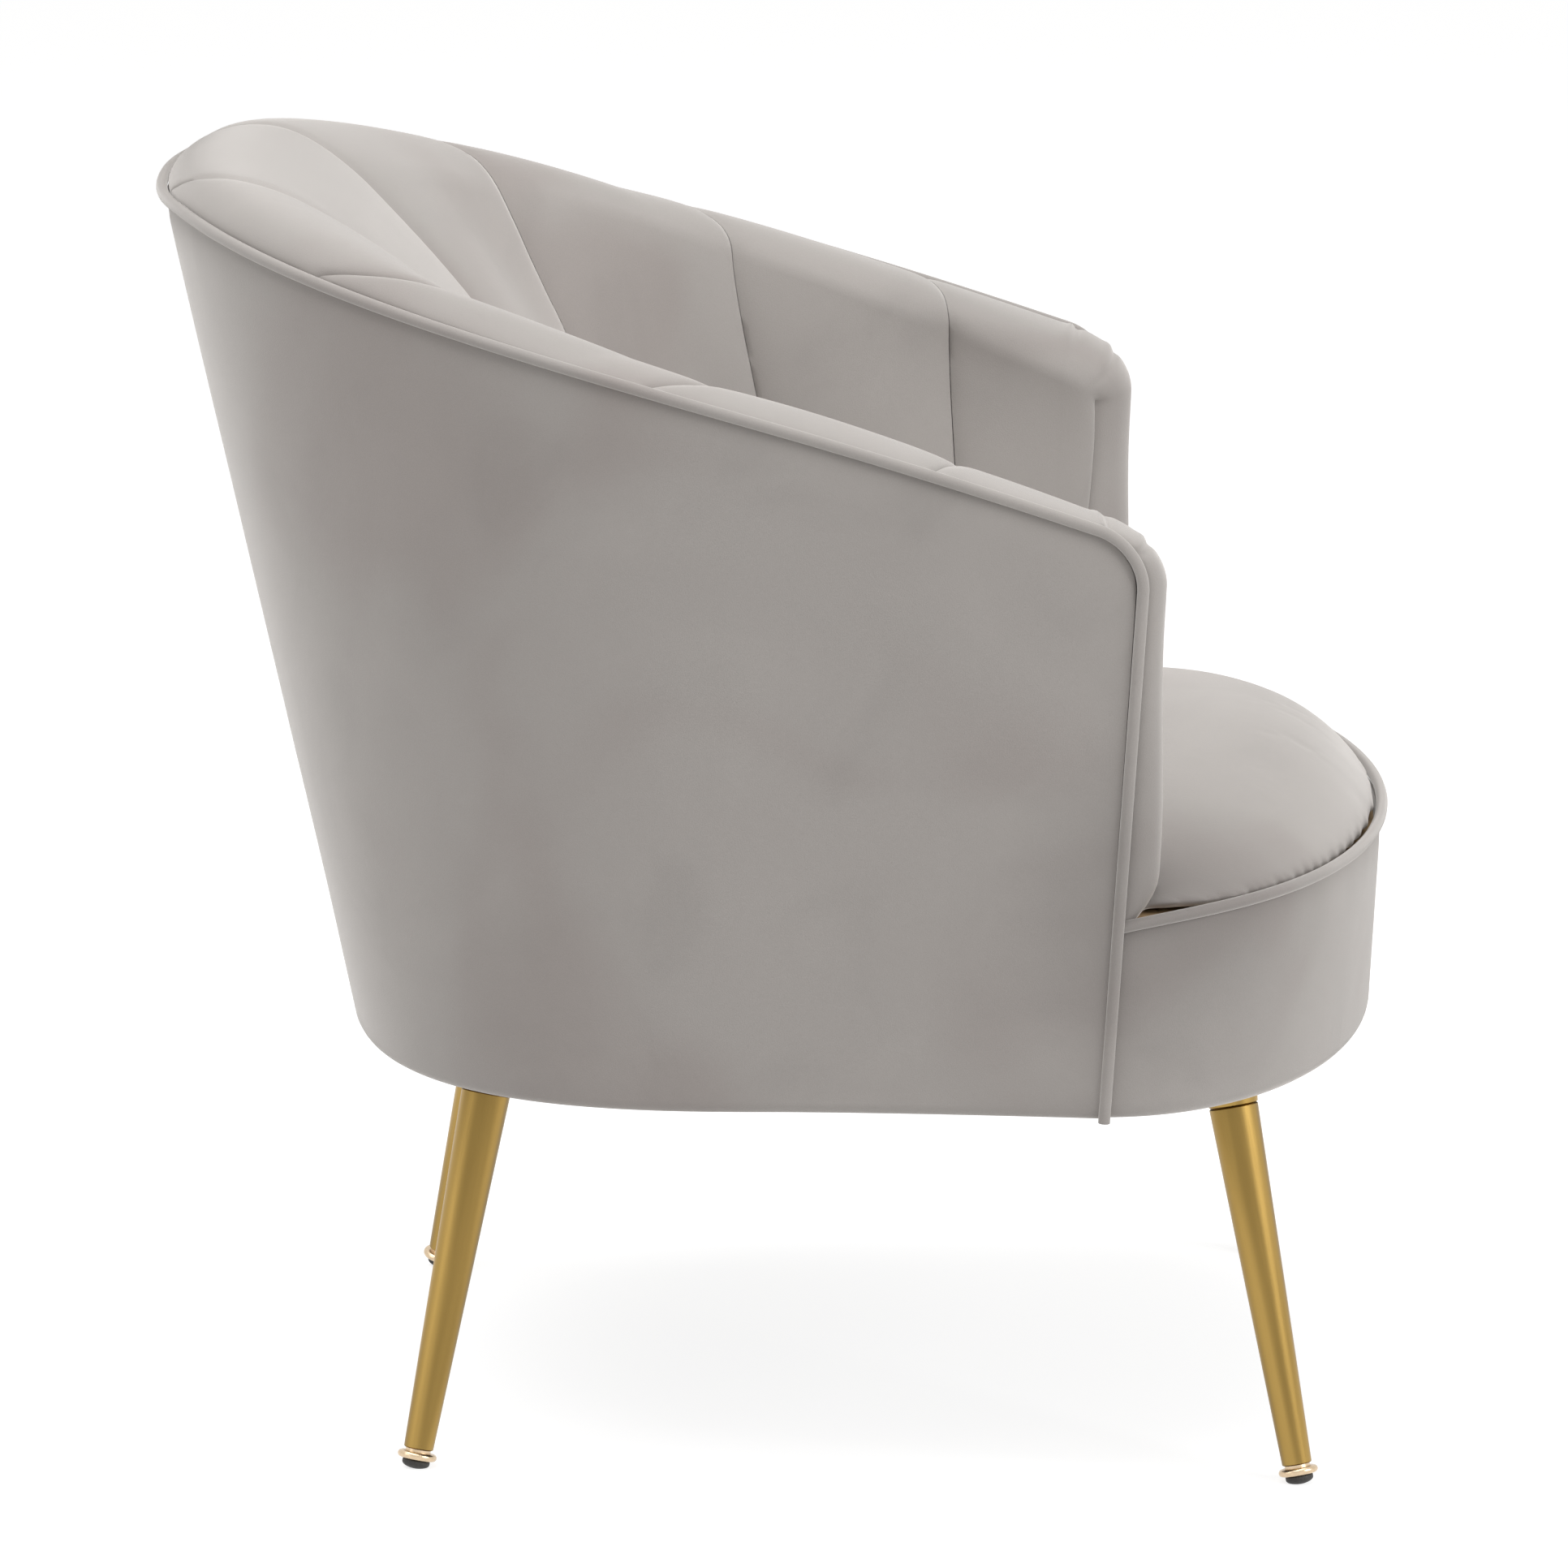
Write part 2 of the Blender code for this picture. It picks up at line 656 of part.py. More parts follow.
def channel(name, low, high):
    """A channel between two seams, each given by its shares at the rim and on the face."""
    gap = SEAM_GAP / 2 / RIM.length
    rim = np.linspace(low[0] + gap, high[0] - gap, CHANNEL_COLUMNS + 1)
    face = np.linspace(low[1] + gap, high[1] - gap, CHANNEL_COLUMNS + 1)
    columns = [pad_column(*shares) for shares in zip(rim, face)]
    front = np.vstack([column[0] for column in columns])
    back = np.vstack([column[1] for column in columns])
    faces = grid_faces(face, ROLL_ROWS + FACE_ROWS + 1)
    return padded_solid(name, front, back, faces, crowns(len(face)), VELVET)


def arm_front(name, side):
    """The last channel of a side: it ends in a roll that wraps the arm's rounded front."""
    gap = SEAM_GAP / 2 / RIM.length
    steps = CHANNEL_COLUMNS // 2 + 1
    rim = np.linspace(RIM_SEAMS[-1] + gap, CORNER_SHARE, steps)[:-1]
    face = np.linspace(FACE_SEAMS[-1] + gap, CORNER_SHARE, steps)[:-1]
    turns = [math.radians(degrees) for degrees in CORNER_TURNS_DEG]
    corner = [turned_share(turn) for turn in turns]
    shares = list(face) + corner
    columns = [pad_column(side * here, side * low) for here, low in zip(rim, face)]
    columns += [pad_column(side * here, side * here, turn) for here, turn in zip(corner, turns)]
    rows = ROLL_ROWS + FACE_ROWS + 1
    crown = crowns(len(shares))
    faces = grid_faces(shares, rows)
    front = [column[0] for column in columns]
    back = [column[1] for column in columns]
    last = (len(columns) - 1) * rows
    before = [last + row for row in range(ROLL_ROWS + 1)]
    count = len(columns) * rows
    for row in range(ROLL_ROWS + 1, rows):
        over, under = front_column(side, columns[-1][0][row], columns[-1][1][row])
        front.append(over)
        back.append(under)
        crown += [0.0] * ROLL_ROWS
        this = [count + step for step in range(ROLL_ROWS)] + [last + row]
        for step in range(ROLL_ROWS):
            faces.append((before[step], before[step + 1], this[step + 1], this[step]))
        before = this
        count += ROLL_ROWS
    return padded_solid(name, np.vstack(front), np.vstack(back), faces, crown, VELVET)


def channels():
    seams = list(zip(RIM_SEAMS, FACE_SEAMS))
    channel("channel_centre", (-RIM_SEAMS[0], -FACE_SEAMS[0]), seams[0])
    for side, word in ((1, "left"), (-1, "right")):
        for index in range(1, len(seams)):
            pair = [(side * rim, side * face) for rim, face in seams[index - 1:index + 1]]
            channel(f"channel_{word}_{index}", *sorted(pair))
        arm_front(f"channel_{word}_{len(seams)}", side)


# Covers and piping

def skirt_paths(top, bottom):
    """Outer and inner paths (inset, height) of a cover that turns in under the frame."""
    turn_z = bottom + COVER_TURN_RADIUS
    wall = [(0.0, z) for z in np.linspace(top, turn_z, WALL_ROWS + 1)[:-1]]
    paths = []
    for thickness in (0.0, COVER_THICKNESS):
        path = [(thickness, z) for _, z in wall]
        radius = COVER_TURN_RADIUS - thickness
        for angle in np.linspace(0.0, math.pi / 2, 4):
            inset = COVER_TURN_RADIUS - radius * math.cos(angle)
            path.append((inset, turn_z - radius * math.sin(angle)))
        path.append((COVER_LIP, bottom + thickness))
        paths.append(path)
    return paths


def outer_back_cover():
    front = []
    back = []
    columns = rim_columns(PIPING_CLEARANCE)
    for share, top in columns:
        for sheet, path in zip((front, back), skirt_paths(top, BODY_BOTTOM_Z)):
            for inset, z in path:
                sheet.append(outer(share, z) + inward_at(share, z) * inset)
    rows = len(front) // len(columns)
    crown = [0.0] * len(front)
    faces = grid_faces([share for share, _ in columns], rows)
    return padded_solid(
        "outer_back_cover", np.array(front), np.array(back), faces, crown, VELVET
    )


def seat_border():
    front = []
    back = []
    sweeps = border_sweeps()
    for sweep in sweeps:
        top = seat_piping_z(sweep) - PIPING_RADIUS - SKIN_GAP / 2
        for sheet, path in zip((front, back), skirt_paths(top, BODY_BOTTOM_Z)):
            for inset, z in path:
                sheet.append(border(sweep, z, inset))
    rows = len(front) // len(sweeps)
    crown = [0.0] * len(front)
    faces = grid_faces(sweeps, rows)
    return padded_solid("seat_border", np.array(front), np.array(back), faces, crown, VELVET)


def outer_piping():
    """Cord up one arm front, round the rim and down the other arm front."""
    columns = rim_columns(0.0)
    top = columns[-1][1]
    downs = np.linspace(top, BODY_BOTTOM_Z - PIPING_TAIL, 2 * WALL_ROWS)[1:]
    path = [outer(-1.0, z) for z in reversed(downs)]
    path += [outer(share, z) for share, z in columns]
    path += [outer(1.0, z) for z in downs]
    return piping("outer_piping", path)


def seat_piping():
    limit = math.radians(SEAT_PIPING_SWEEP_DEG)
    sweeps = border_sweeps(limit)
    return piping("seat_piping", [border(sweep, seat_piping_z(sweep)) for sweep in sweeps])


def dust_cover():
    top = seat_outline(BODY_BOTTOM_Z, DUST_COVER_INSET)
    top[:, 2] = BODY_BOTTOM_Z - FIT_GAP
    bottom = top.copy()
    bottom[:, 2] -= DUST_COVER_THICKNESS
    return loft("dust_cover", (bottom, top), DUST_CLOTH)


# Seat cushion

def arm_front_y():
    """Furthest forward that the arm fronts swell at the height of the cushion."""
    front, back = pad_section(1.0, math.pi / 2)
    low = [row for row in range(ROLL_ROWS, len(front)) if front[row][2] < CUSHION_TOP_Z]
    swells = [front_column(1.0, front[row], back[row])[0][:, 1].min() for row in low]
    return min(swells)


def cushion_outline():
    """The bowed front edge, and the wall that runs behind the ears and round the tub."""
    ear_y = arm_front_y() - SKIN_GAP
    sweep = math.pi / 2
    while border(sweep, DECK_Z, CUSHION_INSET)[1] > ear_y:
        sweep -= SHARE_STEP
    bow = [border(part, DECK_Z, CUSHION_INSET) for part in border_sweeps(sweep)]
    inset = CHANNEL_CROWN * SEAT_CROWN_SHARE + SKIN_GAP
    tub = []
    for share, _ in rim_columns(0.0):
        tub.append(SEAT_LINE.point(share, DECK_Z) + inward_at(share, DECK_Z) * inset)
    ear = [np.array((tub[-1][0], ear_y, DECK_Z)), np.array((tub[0][0], ear_y, DECK_Z))]
    wall = [bow[-1], ear[0]] + tub[::-1] + [ear[1], bow[0]]
    return bow, wall


def distance_to(point, line):
    """Shortest level distance from a point to a line of points."""
    here = np.array(point[:2])
    starts = np.array(line)[:-1, :2]
    steps = np.array(line)[1:, :2] - starts
    part = ((here - starts) * steps).sum(1) / np.maximum((steps ** 2).sum(1), 1e-12)
    nearest = starts + steps * np.clip(part, 0.0, 1.0)[:, None]
    return np.hypot(*(here - nearest).T).min()


def cushion_height(point, bow, wall):
    """Crown of the cushion: it rises from the piping in front and from the tub behind."""
    half_width = outer(1.0, DECK_Z)[0] - BORDER_STEP
    sweep = math.asin(min(abs(point[0]) / half_width, 1.0))
    edge = seat_piping_z(sweep) + PIPING_RADIUS
    top = CUSHION_TOP_Z - CUSHION_SIDE_FALL * point[0] ** 2
    heights = []
    for low, line, shoulder in (
        (edge, bow, CUSHION_SHOULDER),
        (CUSHION_WALL_Z, wall, CUSHION_WALL_SHOULDER),
    ):
        part = min(distance_to(point, line) / shoulder, 1.0)
        rise = 1 - (1 - part) ** CUSHION_PROFILE_POWER
        heights.append(low + (top - low) * rise)
    return min(heights)


def seat_cushion():
    bow, wall = cushion_outline()
    outline = bow + wall[1:-1]
    centre = np.array((0.0, CUSHION_CENTRE_Y, DECK_Z))
    low = DECK_Z + WEBBING_THICKNESS + 2 * FIT_GAP
    bm = bmesh.new()
    under = []
    neck = []
    for corner in outline:
        inward = centre - corner
        inward[0] = 0.0 if corner[1] > wall[0][1] else inward[0]
        tucked = corner + inward / np.linalg.norm(inward) * CUSHION_TUCK
        edge = cushion_height(corner, bow, wall)
        under.append((tucked[0], tucked[1], low))
        neck.append((tucked[0], tucked[1], max(low + 2 * FIT_GAP, edge - PIPING_RADIUS)))
    rings = [add_loop(bm, under), add_loop(bm, neck)]
    for part in CUSHION_RINGS:
        ring = []
        for corner in outline:
            place = corner + (centre - corner) * part
            place[2] = cushion_height(place, bow, wall)
            ring.append(place)
        rings.append(add_loop(bm, ring))
    for first, second in zip(rings[:-1], rings[1:]):
        bridge(bm, first, second)
    bm.faces.new(rings[0])
    centre[2] = cushion_height(centre, bow, wall)
    peak = bm.verts.new(centre)
    last = rings[-1]
    for i, vertex in enumerate(last):
        bm.faces.new((vertex, last[(i + 1) % len(last)], peak))
    return mesh_object("seat_cushion", bm, VELVET, 60.0)


# Inner frame

def top_rail():
    """Bent rail that follows the rim just under the roll."""
    outer_side = COVER_THICKNESS + SKIN_GAP
    half = [share for share, _ in half_stations()] + [CORNER_SHARE]
    sections = []
    for share in [-share for share in reversed(half[1:])] + half:
        high = rim_z(share) - RAIL_DROP
        low = high - RAIL_HEIGHT
        inward = inward_at(share, high)
        corners = ((outer_side, high), (outer_side + RAIL_WIDTH, high))
        corners += ((outer_side + RAIL_WIDTH, low), (outer_side, low))
        sections.append([outer(share, z) + inward * inset for inset, z in corners])
    return loft("top_rail", sections, PLY)


def pad_back_depth(share, skin):
    """Level distance from a point of the tub's skin to the padding's back."""
    _, back = pad_section(share)
    face = back[ROLL_ROWS:][::-1]
    depths = (face - skin) @ inward_at(share, skin[2])
    return np.interp(skin[2], face[:, 2], depths)


def rib(name, share, half_width, finish=PLY):
    """Upright cut to the tub's profile, between the seat ring and the top rail."""
    spread = half_width / RIM.length
    bottom = DECK_Z + FIT_GAP
    lining = LINING_THICKNESS + 2 * SKIN_GAP
    sections = []
    for part in np.linspace(0.0, 1.0, FACE_ROWS):
        section = []
        for place, inner in ((-1, False), (1, False), (1, True), (-1, True)):
            here = share + place * spread
            top = rim_z(here) - RAIL_DROP - RAIL_HEIGHT - RAIL_GAP
            z = bottom + (top - bottom) * part
            skin = outer(here, z)
            inset = COVER_THICKNESS + SKIN_GAP
            if inner:
                inset = pad_back_depth(here, skin) - lining
            section.append(skin + inward_at(here, z) * inset)
        sections.append(section)
    return loft(name, sections, finish)


def ribs():
    rib("rib_centre", 0.0, RIB_HALF_WIDTH)
    for side, word in ((1, "left"), (-1, "right")):
        for index, share in enumerate(RIB_SHARES, 1):
            rib(f"rib_{word}_{index}", side * share, RIB_HALF_WIDTH)
        rib(f"arm_post_{word}", side * ARM_POST_SHARE, ARM_POST_HALF_WIDTH)


def lining_board():
    """Bent board that backs the channels, from the seat ring up to their shoulders."""
    half = [share for _, share in half_stations() if share < LINING_END_SHARE]
    shares = [-share for share in reversed(half[1:])] + half
    front = []
    back = []
    for share in shares:
        _, pad_back = pad_section(share)
        inward = inward_at(share, rim_z(share))
        face = pad_back[ROLL_ROWS + 1:].copy()
        face[-1][2] = DECK_Z + FIT_GAP
        front.append(face - inward * FIT_GAP * 2)
        back.append(face - inward * (FIT_GAP * 2 + LINING_THICKNESS))
    front = np.vstack(front)
    back = np.vstack(back)
    faces = grid_faces(shares, FACE_ROWS)
    return padded_solid("lining_board", front, back, faces, [0.0] * len(front), FIBREBOARD)


def seat_box():
    """The two plywood rings and the solid wood between them."""
    base_low = BODY_BOTTOM_Z + COVER_THICKNESS + FIT_GAP
    base_high = base_low + PLYWOOD
    seat_low = DECK_Z - PLYWOOD
    base_inset = COVER_TURN_RADIUS + FIT_GAP
    seat_inset = COVER_THICKNESS + SKIN_GAP
    for name, low, high, inset, opening, opening_y in (
        ("base_ring", base_low, base_high, base_inset, BASE_OPENING, BASE_OPENING_Y),
        ("seat_ring", seat_low, DECK_Z, seat_inset, SEAT_OPENING, SEAT_OPENING_Y),
    ):
        bottom = seat_outline(low, inset)
        top = seat_outline(high, inset)
        hole = opening_outline(bottom, opening, opening_y)
        ring_plate(name, bottom, top, hole, PLY)
    height = seat_low - base_high - 2 * FIT_GAP
    middle = (seat_low + base_high) / 2
    for end, foot in leg_feet():
        x, y = leg_axis_at(foot, BODY_BOTTOM_Z)
        x -= math.copysign(BLOCK_SHIFT, x)
        y -= math.copysign(BLOCK_SHIFT, y)
        size = (BLOCK_SIZE, BLOCK_SIZE, height)
        block(f"leg_block_{end}", (x, y, middle), size, PLY)
    back_y = BASE_BACK_Y - base_inset - SPACER_INSET
    side_x = BASE_HALF_WIDTH - base_inset - SPACER_INSET
    block("spacer_rear", (0.0, back_y, middle), (SPACER_LENGTH, SPACER_WIDTH, height), PLY)
    for side, word in ((1, "left"), (-1, "right")):
        place = (side * side_x, BASE_OPENING_Y, middle)
        block(f"spacer_{word}", place, (SPACER_WIDTH, SPACER_LENGTH, height), PLY)


def seat_webbing():
    """Elastic straps stapled front and rear across the seat opening."""
    length = 2 * (SEAT_OPENING[1] + WEBBING_OVERLAP)
    z = DECK_Z + FIT_GAP + WEBBING_THICKNESS / 2
    for index in range(WEBBING_COUNT):
        x = (index - (WEBBING_COUNT - 1) / 2) * WEBBING_PITCH
        size = (WEBBING_WIDTH, length, WEBBING_THICKNESS)
        block(f"seat_webbing_{index + 1}", (x, SEAT_OPENING_Y, z), size, WEBBING)


# Legs and feet

def leg_feet():
    """The four feet: name, then where each leg's axis starts and which way it climbs."""
    feet = []
    for end, (x, y), splay in (
        ("front", FOOT_FRONT, LEG_SPLAY_FRONT_DEG),
        ("rear", FOOT_REAR, -LEG_SPLAY_REAR_DEG),
    ):
        for side, word in ((1, "left"), (-1, "right")):
            start = Vector((side * x, y, -PAD_FLAT_DEPTH))
            across = -side * math.tan(math.radians(LEG_SPREAD_DEG))
            along_y = math.tan(math.radians(splay))
            climb = Vector((across, along_y, 1.0)).normalized()
            feet.append((f"{end}_{word}", (start, climb)))
    return feet


def leg_axis_at(foot, z):
    """Where a leg's axis crosses a height."""
    start, climb = foot
    place = start + climb * ((z - start.z) / climb.z)
    return place.x, place.y


def stand(item, foot):
    """Place a turned piece on its leg's axis."""
    start, climb = foot
    item.location = start
    item.rotation_mode = "QUATERNION"
    item.rotation_quaternion = Vector((0, 0, 1)).rotation_difference(climb)
    return item


def collar_bottom():
    return PAD_HEIGHT + FIT_GAP


def collar_top():
    return collar_bottom() + FLANGE_HEIGHT + HUB_HEIGHT


def leg_top(foot):
    """Length along the axis from the foot to the leg's top face."""
    start, climb = foot
    return (LEG_TOP_Z - start.z) / climb.z


def foot_pad(name, foot, floor):
    """Domed glide with a pin that turns in the collar, worn flat where it meets the floor."""
    dome = []
    for angle in np.linspace(0.0, math.pi / 2, 5):
        height = PAD_DOME_HEIGHT * (1 - math.cos(angle))
        dome.append((PAD_RADIUS * math.sin(angle), height))
    edge = PAD_HEIGHT - PAD_FLAT_DEPTH
    profile = dome + [(PAD_RADIUS, edge), (PAD_RADIUS - PAD_FLAT_DEPTH, PAD_HEIGHT)]
    profile += [(PAD_PIN_RADIUS, PAD_HEIGHT), (PAD_PIN_RADIUS, PAD_HEIGHT + PAD_PIN_LENGTH)]
    profile.append((0.0, PAD_HEIGHT + PAD_PIN_LENGTH))
    item = stand(turned(name, profile, RUBBER), foot)
    boolean(item, floor, "DIFFERENCE")


def foot_collar(name, foot):
    """Flanged adjuster with a threaded stem above and a socket for the glide below."""
    low = collar_bottom()
    socket = PAD_PIN_RADIUS + PAD_PIN_CLEARANCE
    socket_top = low + PAD_PIN_LENGTH + PAD_PIN_CLEARANCE
    profile = [(0.0, socket_top), (socket, socket_top), (socket, low)]
    bulge = FLANGE_HEIGHT / 2
    neck = FLANGE_RADIUS - bulge
    for angle in np.linspace(-math.pi / 2, math.pi / 2, 5):
        profile.append((neck + bulge * math.cos(angle), low + bulge + bulge * math.sin(angle)))
    tip = collar_top() + STEM_LENGTH
    profile += [(HUB_RADIUS, low + FLANGE_HEIGHT), (HUB_RADIUS, collar_top())]
    profile += [(THREAD_RADIUS, collar_top()), (THREAD_RADIUS, tip - THREAD_RADIUS / 4)]
    profile += [(THREAD_RADIUS * 3 / 4, tip), (0.0, tip)]
    stand(turned(name, profile, PALE_BRASS), foot)


def leg(name, foot):
    """Tapered tube with a threaded insert at each end."""
    low = collar_top() + FIT_GAP
    high = leg_top(foot)
    bore = THREAD_RADIUS + THREAD_CLEARANCE
    profile = [(LEG_BOTTOM_RADIUS, low), (LEG_TOP_RADIUS, high), (bore, high)]
    taper = (LEG_TOP_RADIUS - LEG_BOTTOM_RADIUS) / (high - low)
    upper = high - LEG_TOP_PLUG
    lower = low + LEG_BOTTOM_PLUG
    upper_radius = LEG_TOP_RADIUS - LEG_WALL - taper * LEG_TOP_PLUG
    lower_radius = LEG_BOTTOM_RADIUS - LEG_WALL + taper * LEG_BOTTOM_PLUG
    profile += [(bore, upper), (upper_radius, upper), (lower_radius, lower)]
    profile += [(bore, lower), (bore, low)]
    stand(turned(name, profile, BRASS, closed=True), foot)


def leg_stud(name, foot):
    """Threaded stud that holds the leg to its plate."""
    low = leg_top(foot) - STUD_DEPTH
    high = leg_top(foot) + STUD_REACH
    chamfer = THREAD_RADIUS / 4
    profile = [(0.0, low), (THREAD_RADIUS - chamfer, low), (THREAD_RADIUS, low + chamfer)]
    profile += [(THREAD_RADIUS, high - chamfer), (THREAD_RADIUS - chamfer, high), (0.0, high)]
    stand(turned(name, profile, STEEL, segments=TURN_SEGMENTS // 2), foot)


def leg_plate(name, foot):
    """Round plate with an angled boss, bored for the stud along the leg's axis."""
    start, climb = foot
    high = BODY_BOTTOM_Z - DUST_COVER_THICKNESS - 2 * FIT_GAP
    low = high - PLATE_THICKNESS
    x, y = leg_axis_at(foot, high)
    profile = [(0.0, low), (PLATE_RADIUS, low), (PLATE_RADIUS, high), (0.0, high)]
    plate = turned(name, profile, BLACK_STEEL)
    plate.location = (x, y, 0.0)
    face = start + climb * (leg_top(foot) + FIT_GAP)
    tilt = Vector((0, 0, 1)).rotation_difference(climb).to_matrix()
    rings = []
    for z in ((low + high) / 2, low):
        middle = Vector((*leg_axis_at(foot, z), z))
        rings.append([middle + spoke * BOSS_RADIUS for spoke in spokes()])
    rings.append([face + tilt @ spoke * BOSS_FACE_RADIUS for spoke in spokes()])
    boss = guide(loft(f"{name}_boss", rings, BLACK_STEEL))
    bore_radius = THREAD_RADIUS + THREAD_CLEARANCE
    length = 2 * (high - LEG_TOP_Z)
    ends = [(0.0, -length), (bore_radius, -length), (bore_radius, length), (0.0, length)]
    bore = guide(turned(f"{name}_bore", ends, BLACK_STEEL))
    bore.location = face
    bore.rotation_mode = "QUATERNION"
    bore.rotation_quaternion = Vector((0, 0, 1)).rotation_difference(climb)
    boolean(plate, boss, "UNION")
    boolean(plate, bore, "DIFFERENCE")


def spokes():
    """Unit vectors round the Z axis."""
    turn = 2 * math.pi / TURN_SEGMENTS
    angles = [turn * i for i in range(TURN_SEGMENTS)]
    return [Vector((math.cos(angle), math.sin(angle), 0.0)) for angle in angles]


def legs_and_feet():
    reach = 2 * abs(FOOT_FRONT[1])
    floor = block("floor_cutter", (0.0, 0.0, -reach / 2), (2 * reach, 2 * reach, reach), RUBBER)
    guide(floor)
    for word, foot in leg_feet():
        leg_plate(f"leg_plate_{word}", foot)
        leg_stud(f"leg_stud_{word}", foot)
        leg(f"leg_{word}", foot)
        foot_collar(f"foot_collar_{word}", foot)
        foot_pad(f"foot_pad_{word}", foot, floor)


def main():
    start_scene()
    channels()
    outer_back_cover()
    outer_piping()
    seat_border()
    seat_piping()
    seat_cushion()
    dust_cover()
    top_rail()
    ribs()
    lining_board()
    seat_box()
    seat_webbing()
    legs_and_feet()


main()
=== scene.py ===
"""Looks of a channel-back velvet tub chair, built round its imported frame.

Metres, +Z up. The sitter faces -Y and the sitter's left is +X. A place round the tub is a
share: 0 at the middle of the back, +1 at the left arm front and -1 at the right arm front.
"""

import functools
import math

import bmesh
import bpy
import numpy as np
from bpy.props import FloatProperty, FloatVectorProperty, PointerProperty
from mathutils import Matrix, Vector, noise


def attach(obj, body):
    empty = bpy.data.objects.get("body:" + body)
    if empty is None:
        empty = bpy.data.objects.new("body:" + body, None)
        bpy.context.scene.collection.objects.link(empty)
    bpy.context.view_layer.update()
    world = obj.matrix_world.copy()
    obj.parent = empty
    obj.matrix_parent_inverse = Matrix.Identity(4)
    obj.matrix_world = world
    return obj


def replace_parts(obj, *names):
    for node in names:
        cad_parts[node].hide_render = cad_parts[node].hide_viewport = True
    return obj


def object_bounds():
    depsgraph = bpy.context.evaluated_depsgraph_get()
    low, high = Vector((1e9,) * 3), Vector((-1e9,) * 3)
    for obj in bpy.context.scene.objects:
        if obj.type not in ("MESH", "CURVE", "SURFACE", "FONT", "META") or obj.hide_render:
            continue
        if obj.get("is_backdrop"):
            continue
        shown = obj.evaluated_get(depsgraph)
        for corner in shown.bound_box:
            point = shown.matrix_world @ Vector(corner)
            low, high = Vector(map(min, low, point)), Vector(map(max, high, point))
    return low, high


bl_info = {
    "name": "Channel-back tub chair",
    "version": (1, 0, 0),
    "blender": (4, 5, 0),
    "location": "3D View > Sidebar > Tub chair",
    "description": "Dresses the packed frame of a velvet tub chair",
    "category": "Object",
}

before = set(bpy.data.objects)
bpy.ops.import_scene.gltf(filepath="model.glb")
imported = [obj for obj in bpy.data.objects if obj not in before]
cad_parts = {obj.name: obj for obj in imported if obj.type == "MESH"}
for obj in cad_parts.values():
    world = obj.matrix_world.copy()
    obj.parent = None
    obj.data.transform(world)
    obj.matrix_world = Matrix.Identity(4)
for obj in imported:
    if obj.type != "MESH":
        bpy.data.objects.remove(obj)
CAD_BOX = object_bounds()

# Sizes that the frame's solids were made to
FIT_GAP = 0.0003
SEAM_GAP = 0.0006
BODY_BOTTOM_Z = 0.2405
DECK_Z = 0.3636
RIM_BACK_Z = 0.7585
RIM_FRONT_Z = 0.5944
RIM_LEVEL_SHARE = 0.15
RIM_FALL_POWER = 1.48
RIM_HALF_WIDTH = 0.372
RIM_BACK_Y = 0.380
RIM_FRONT_Y = -0.2195
RIM_POWER = 2.2
BASE_HALF_WIDTH = 0.334
BASE_FRONT_HALF_WIDTH = 0.351
BASE_BACK_Y = 0.262
BASE_FRONT_Y = -0.197
BASE_POWER = 2.7
ARM_CURVE_POWER = 1.5
CORNER_RADIUS = 0.028
ARM_THICKNESS = 0.0665
BACK_THICKNESS = 0.114
SHOULDER_POWER = 2.53
FRONT_WRAP = 0.012
SEAT_HALF_WIDTH = 0.262
SEAT_FRONT_HALF_WIDTH = 0.266
SEAT_BACK_Y = 0.107
SEAT_POWER = 1.67
BACK_PAD_THICKNESS = 0.040
ARM_PAD_THICKNESS = 0.0333
SHOULDER_DROP = 0.0197
BACK_LEAN_DEG = 47.4
ARM_LEAN_DEG = -1.6
BACK_SWELL = 0.0118
ARM_SWELL = 0.0038
FRONT_SWELL = 0.025
FRONT_GROWTH = 0.0135
FRONT_GROWTH_FROM = 0.2
FRONT_GROWTH_TO = 0.85
BACK_ROLL_REACH = 0.0974
ARM_ROLL_REACH = 0.0349
BACK_FACE_REACH = 0.175
ARM_FACE_REACH = 0.060
BACK_SEAT_REACH = 0.196
ARM_SEAT_REACH = 0.080
FACE_TOE = 0.004
RIM_SEAMS = (0.085, 0.365, 0.637, 0.845)
FACE_SEAMS = (0.171, 0.420, 0.652, 0.860)
SEAM_TURN_END = 0.8
BLEND_END_SHARE = 0.576
BLEND_POWER = 1.735
LEAN_END_SHARE = 0.857
LEAN_POWER = 2.66
PIPING_RADIUS = 0.0032
PIPING_TAIL = 0.001
COVER_THICKNESS = 0.0035
COVER_TURN_RADIUS = 0.008
COVER_LIP = 0.030
BORDER_STEP = 0.0035
BORDER_FRONT_BASE_Y = -0.372
BORDER_FRONT_TOP_Y = -0.3791
SEAT_PIPING_END_Z = 0.3600
SEAT_PIPING_RISE = 0.0105
SEAT_PIPING_POWER = 6
CUSHION_TOP_Z = 0.4280
CUSHION_SIDE_FALL = 0.45
CUSHION_WALL_Z = 0.396
CUSHION_INSET = 0.0035
CUSHION_TUCK = 0.0017
CUSHION_SHOULDER = 0.125
CUSHION_WALL_SHOULDER = 0.090
CUSHION_PROFILE_POWER = 3.2
CUSHION_CENTRE_Y = -0.260
WEBBING_THICKNESS = 0.002
FOOT_FRONT = (0.2906, -0.3197)
FOOT_REAR = (0.2546, 0.2208)
LEG_SPREAD_DEG = 10.2
LEG_SPLAY_FRONT_DEG = 10.26
LEG_SPLAY_REAR_DEG = 10.92
LEG_TOP_RADIUS = 0.0150
LEG_BOTTOM_RADIUS = 0.0091
LEG_TOP_Z = 0.2262
LEG_WALL = 0.0015
DUST_COVER_THICKNESS = 0.0012
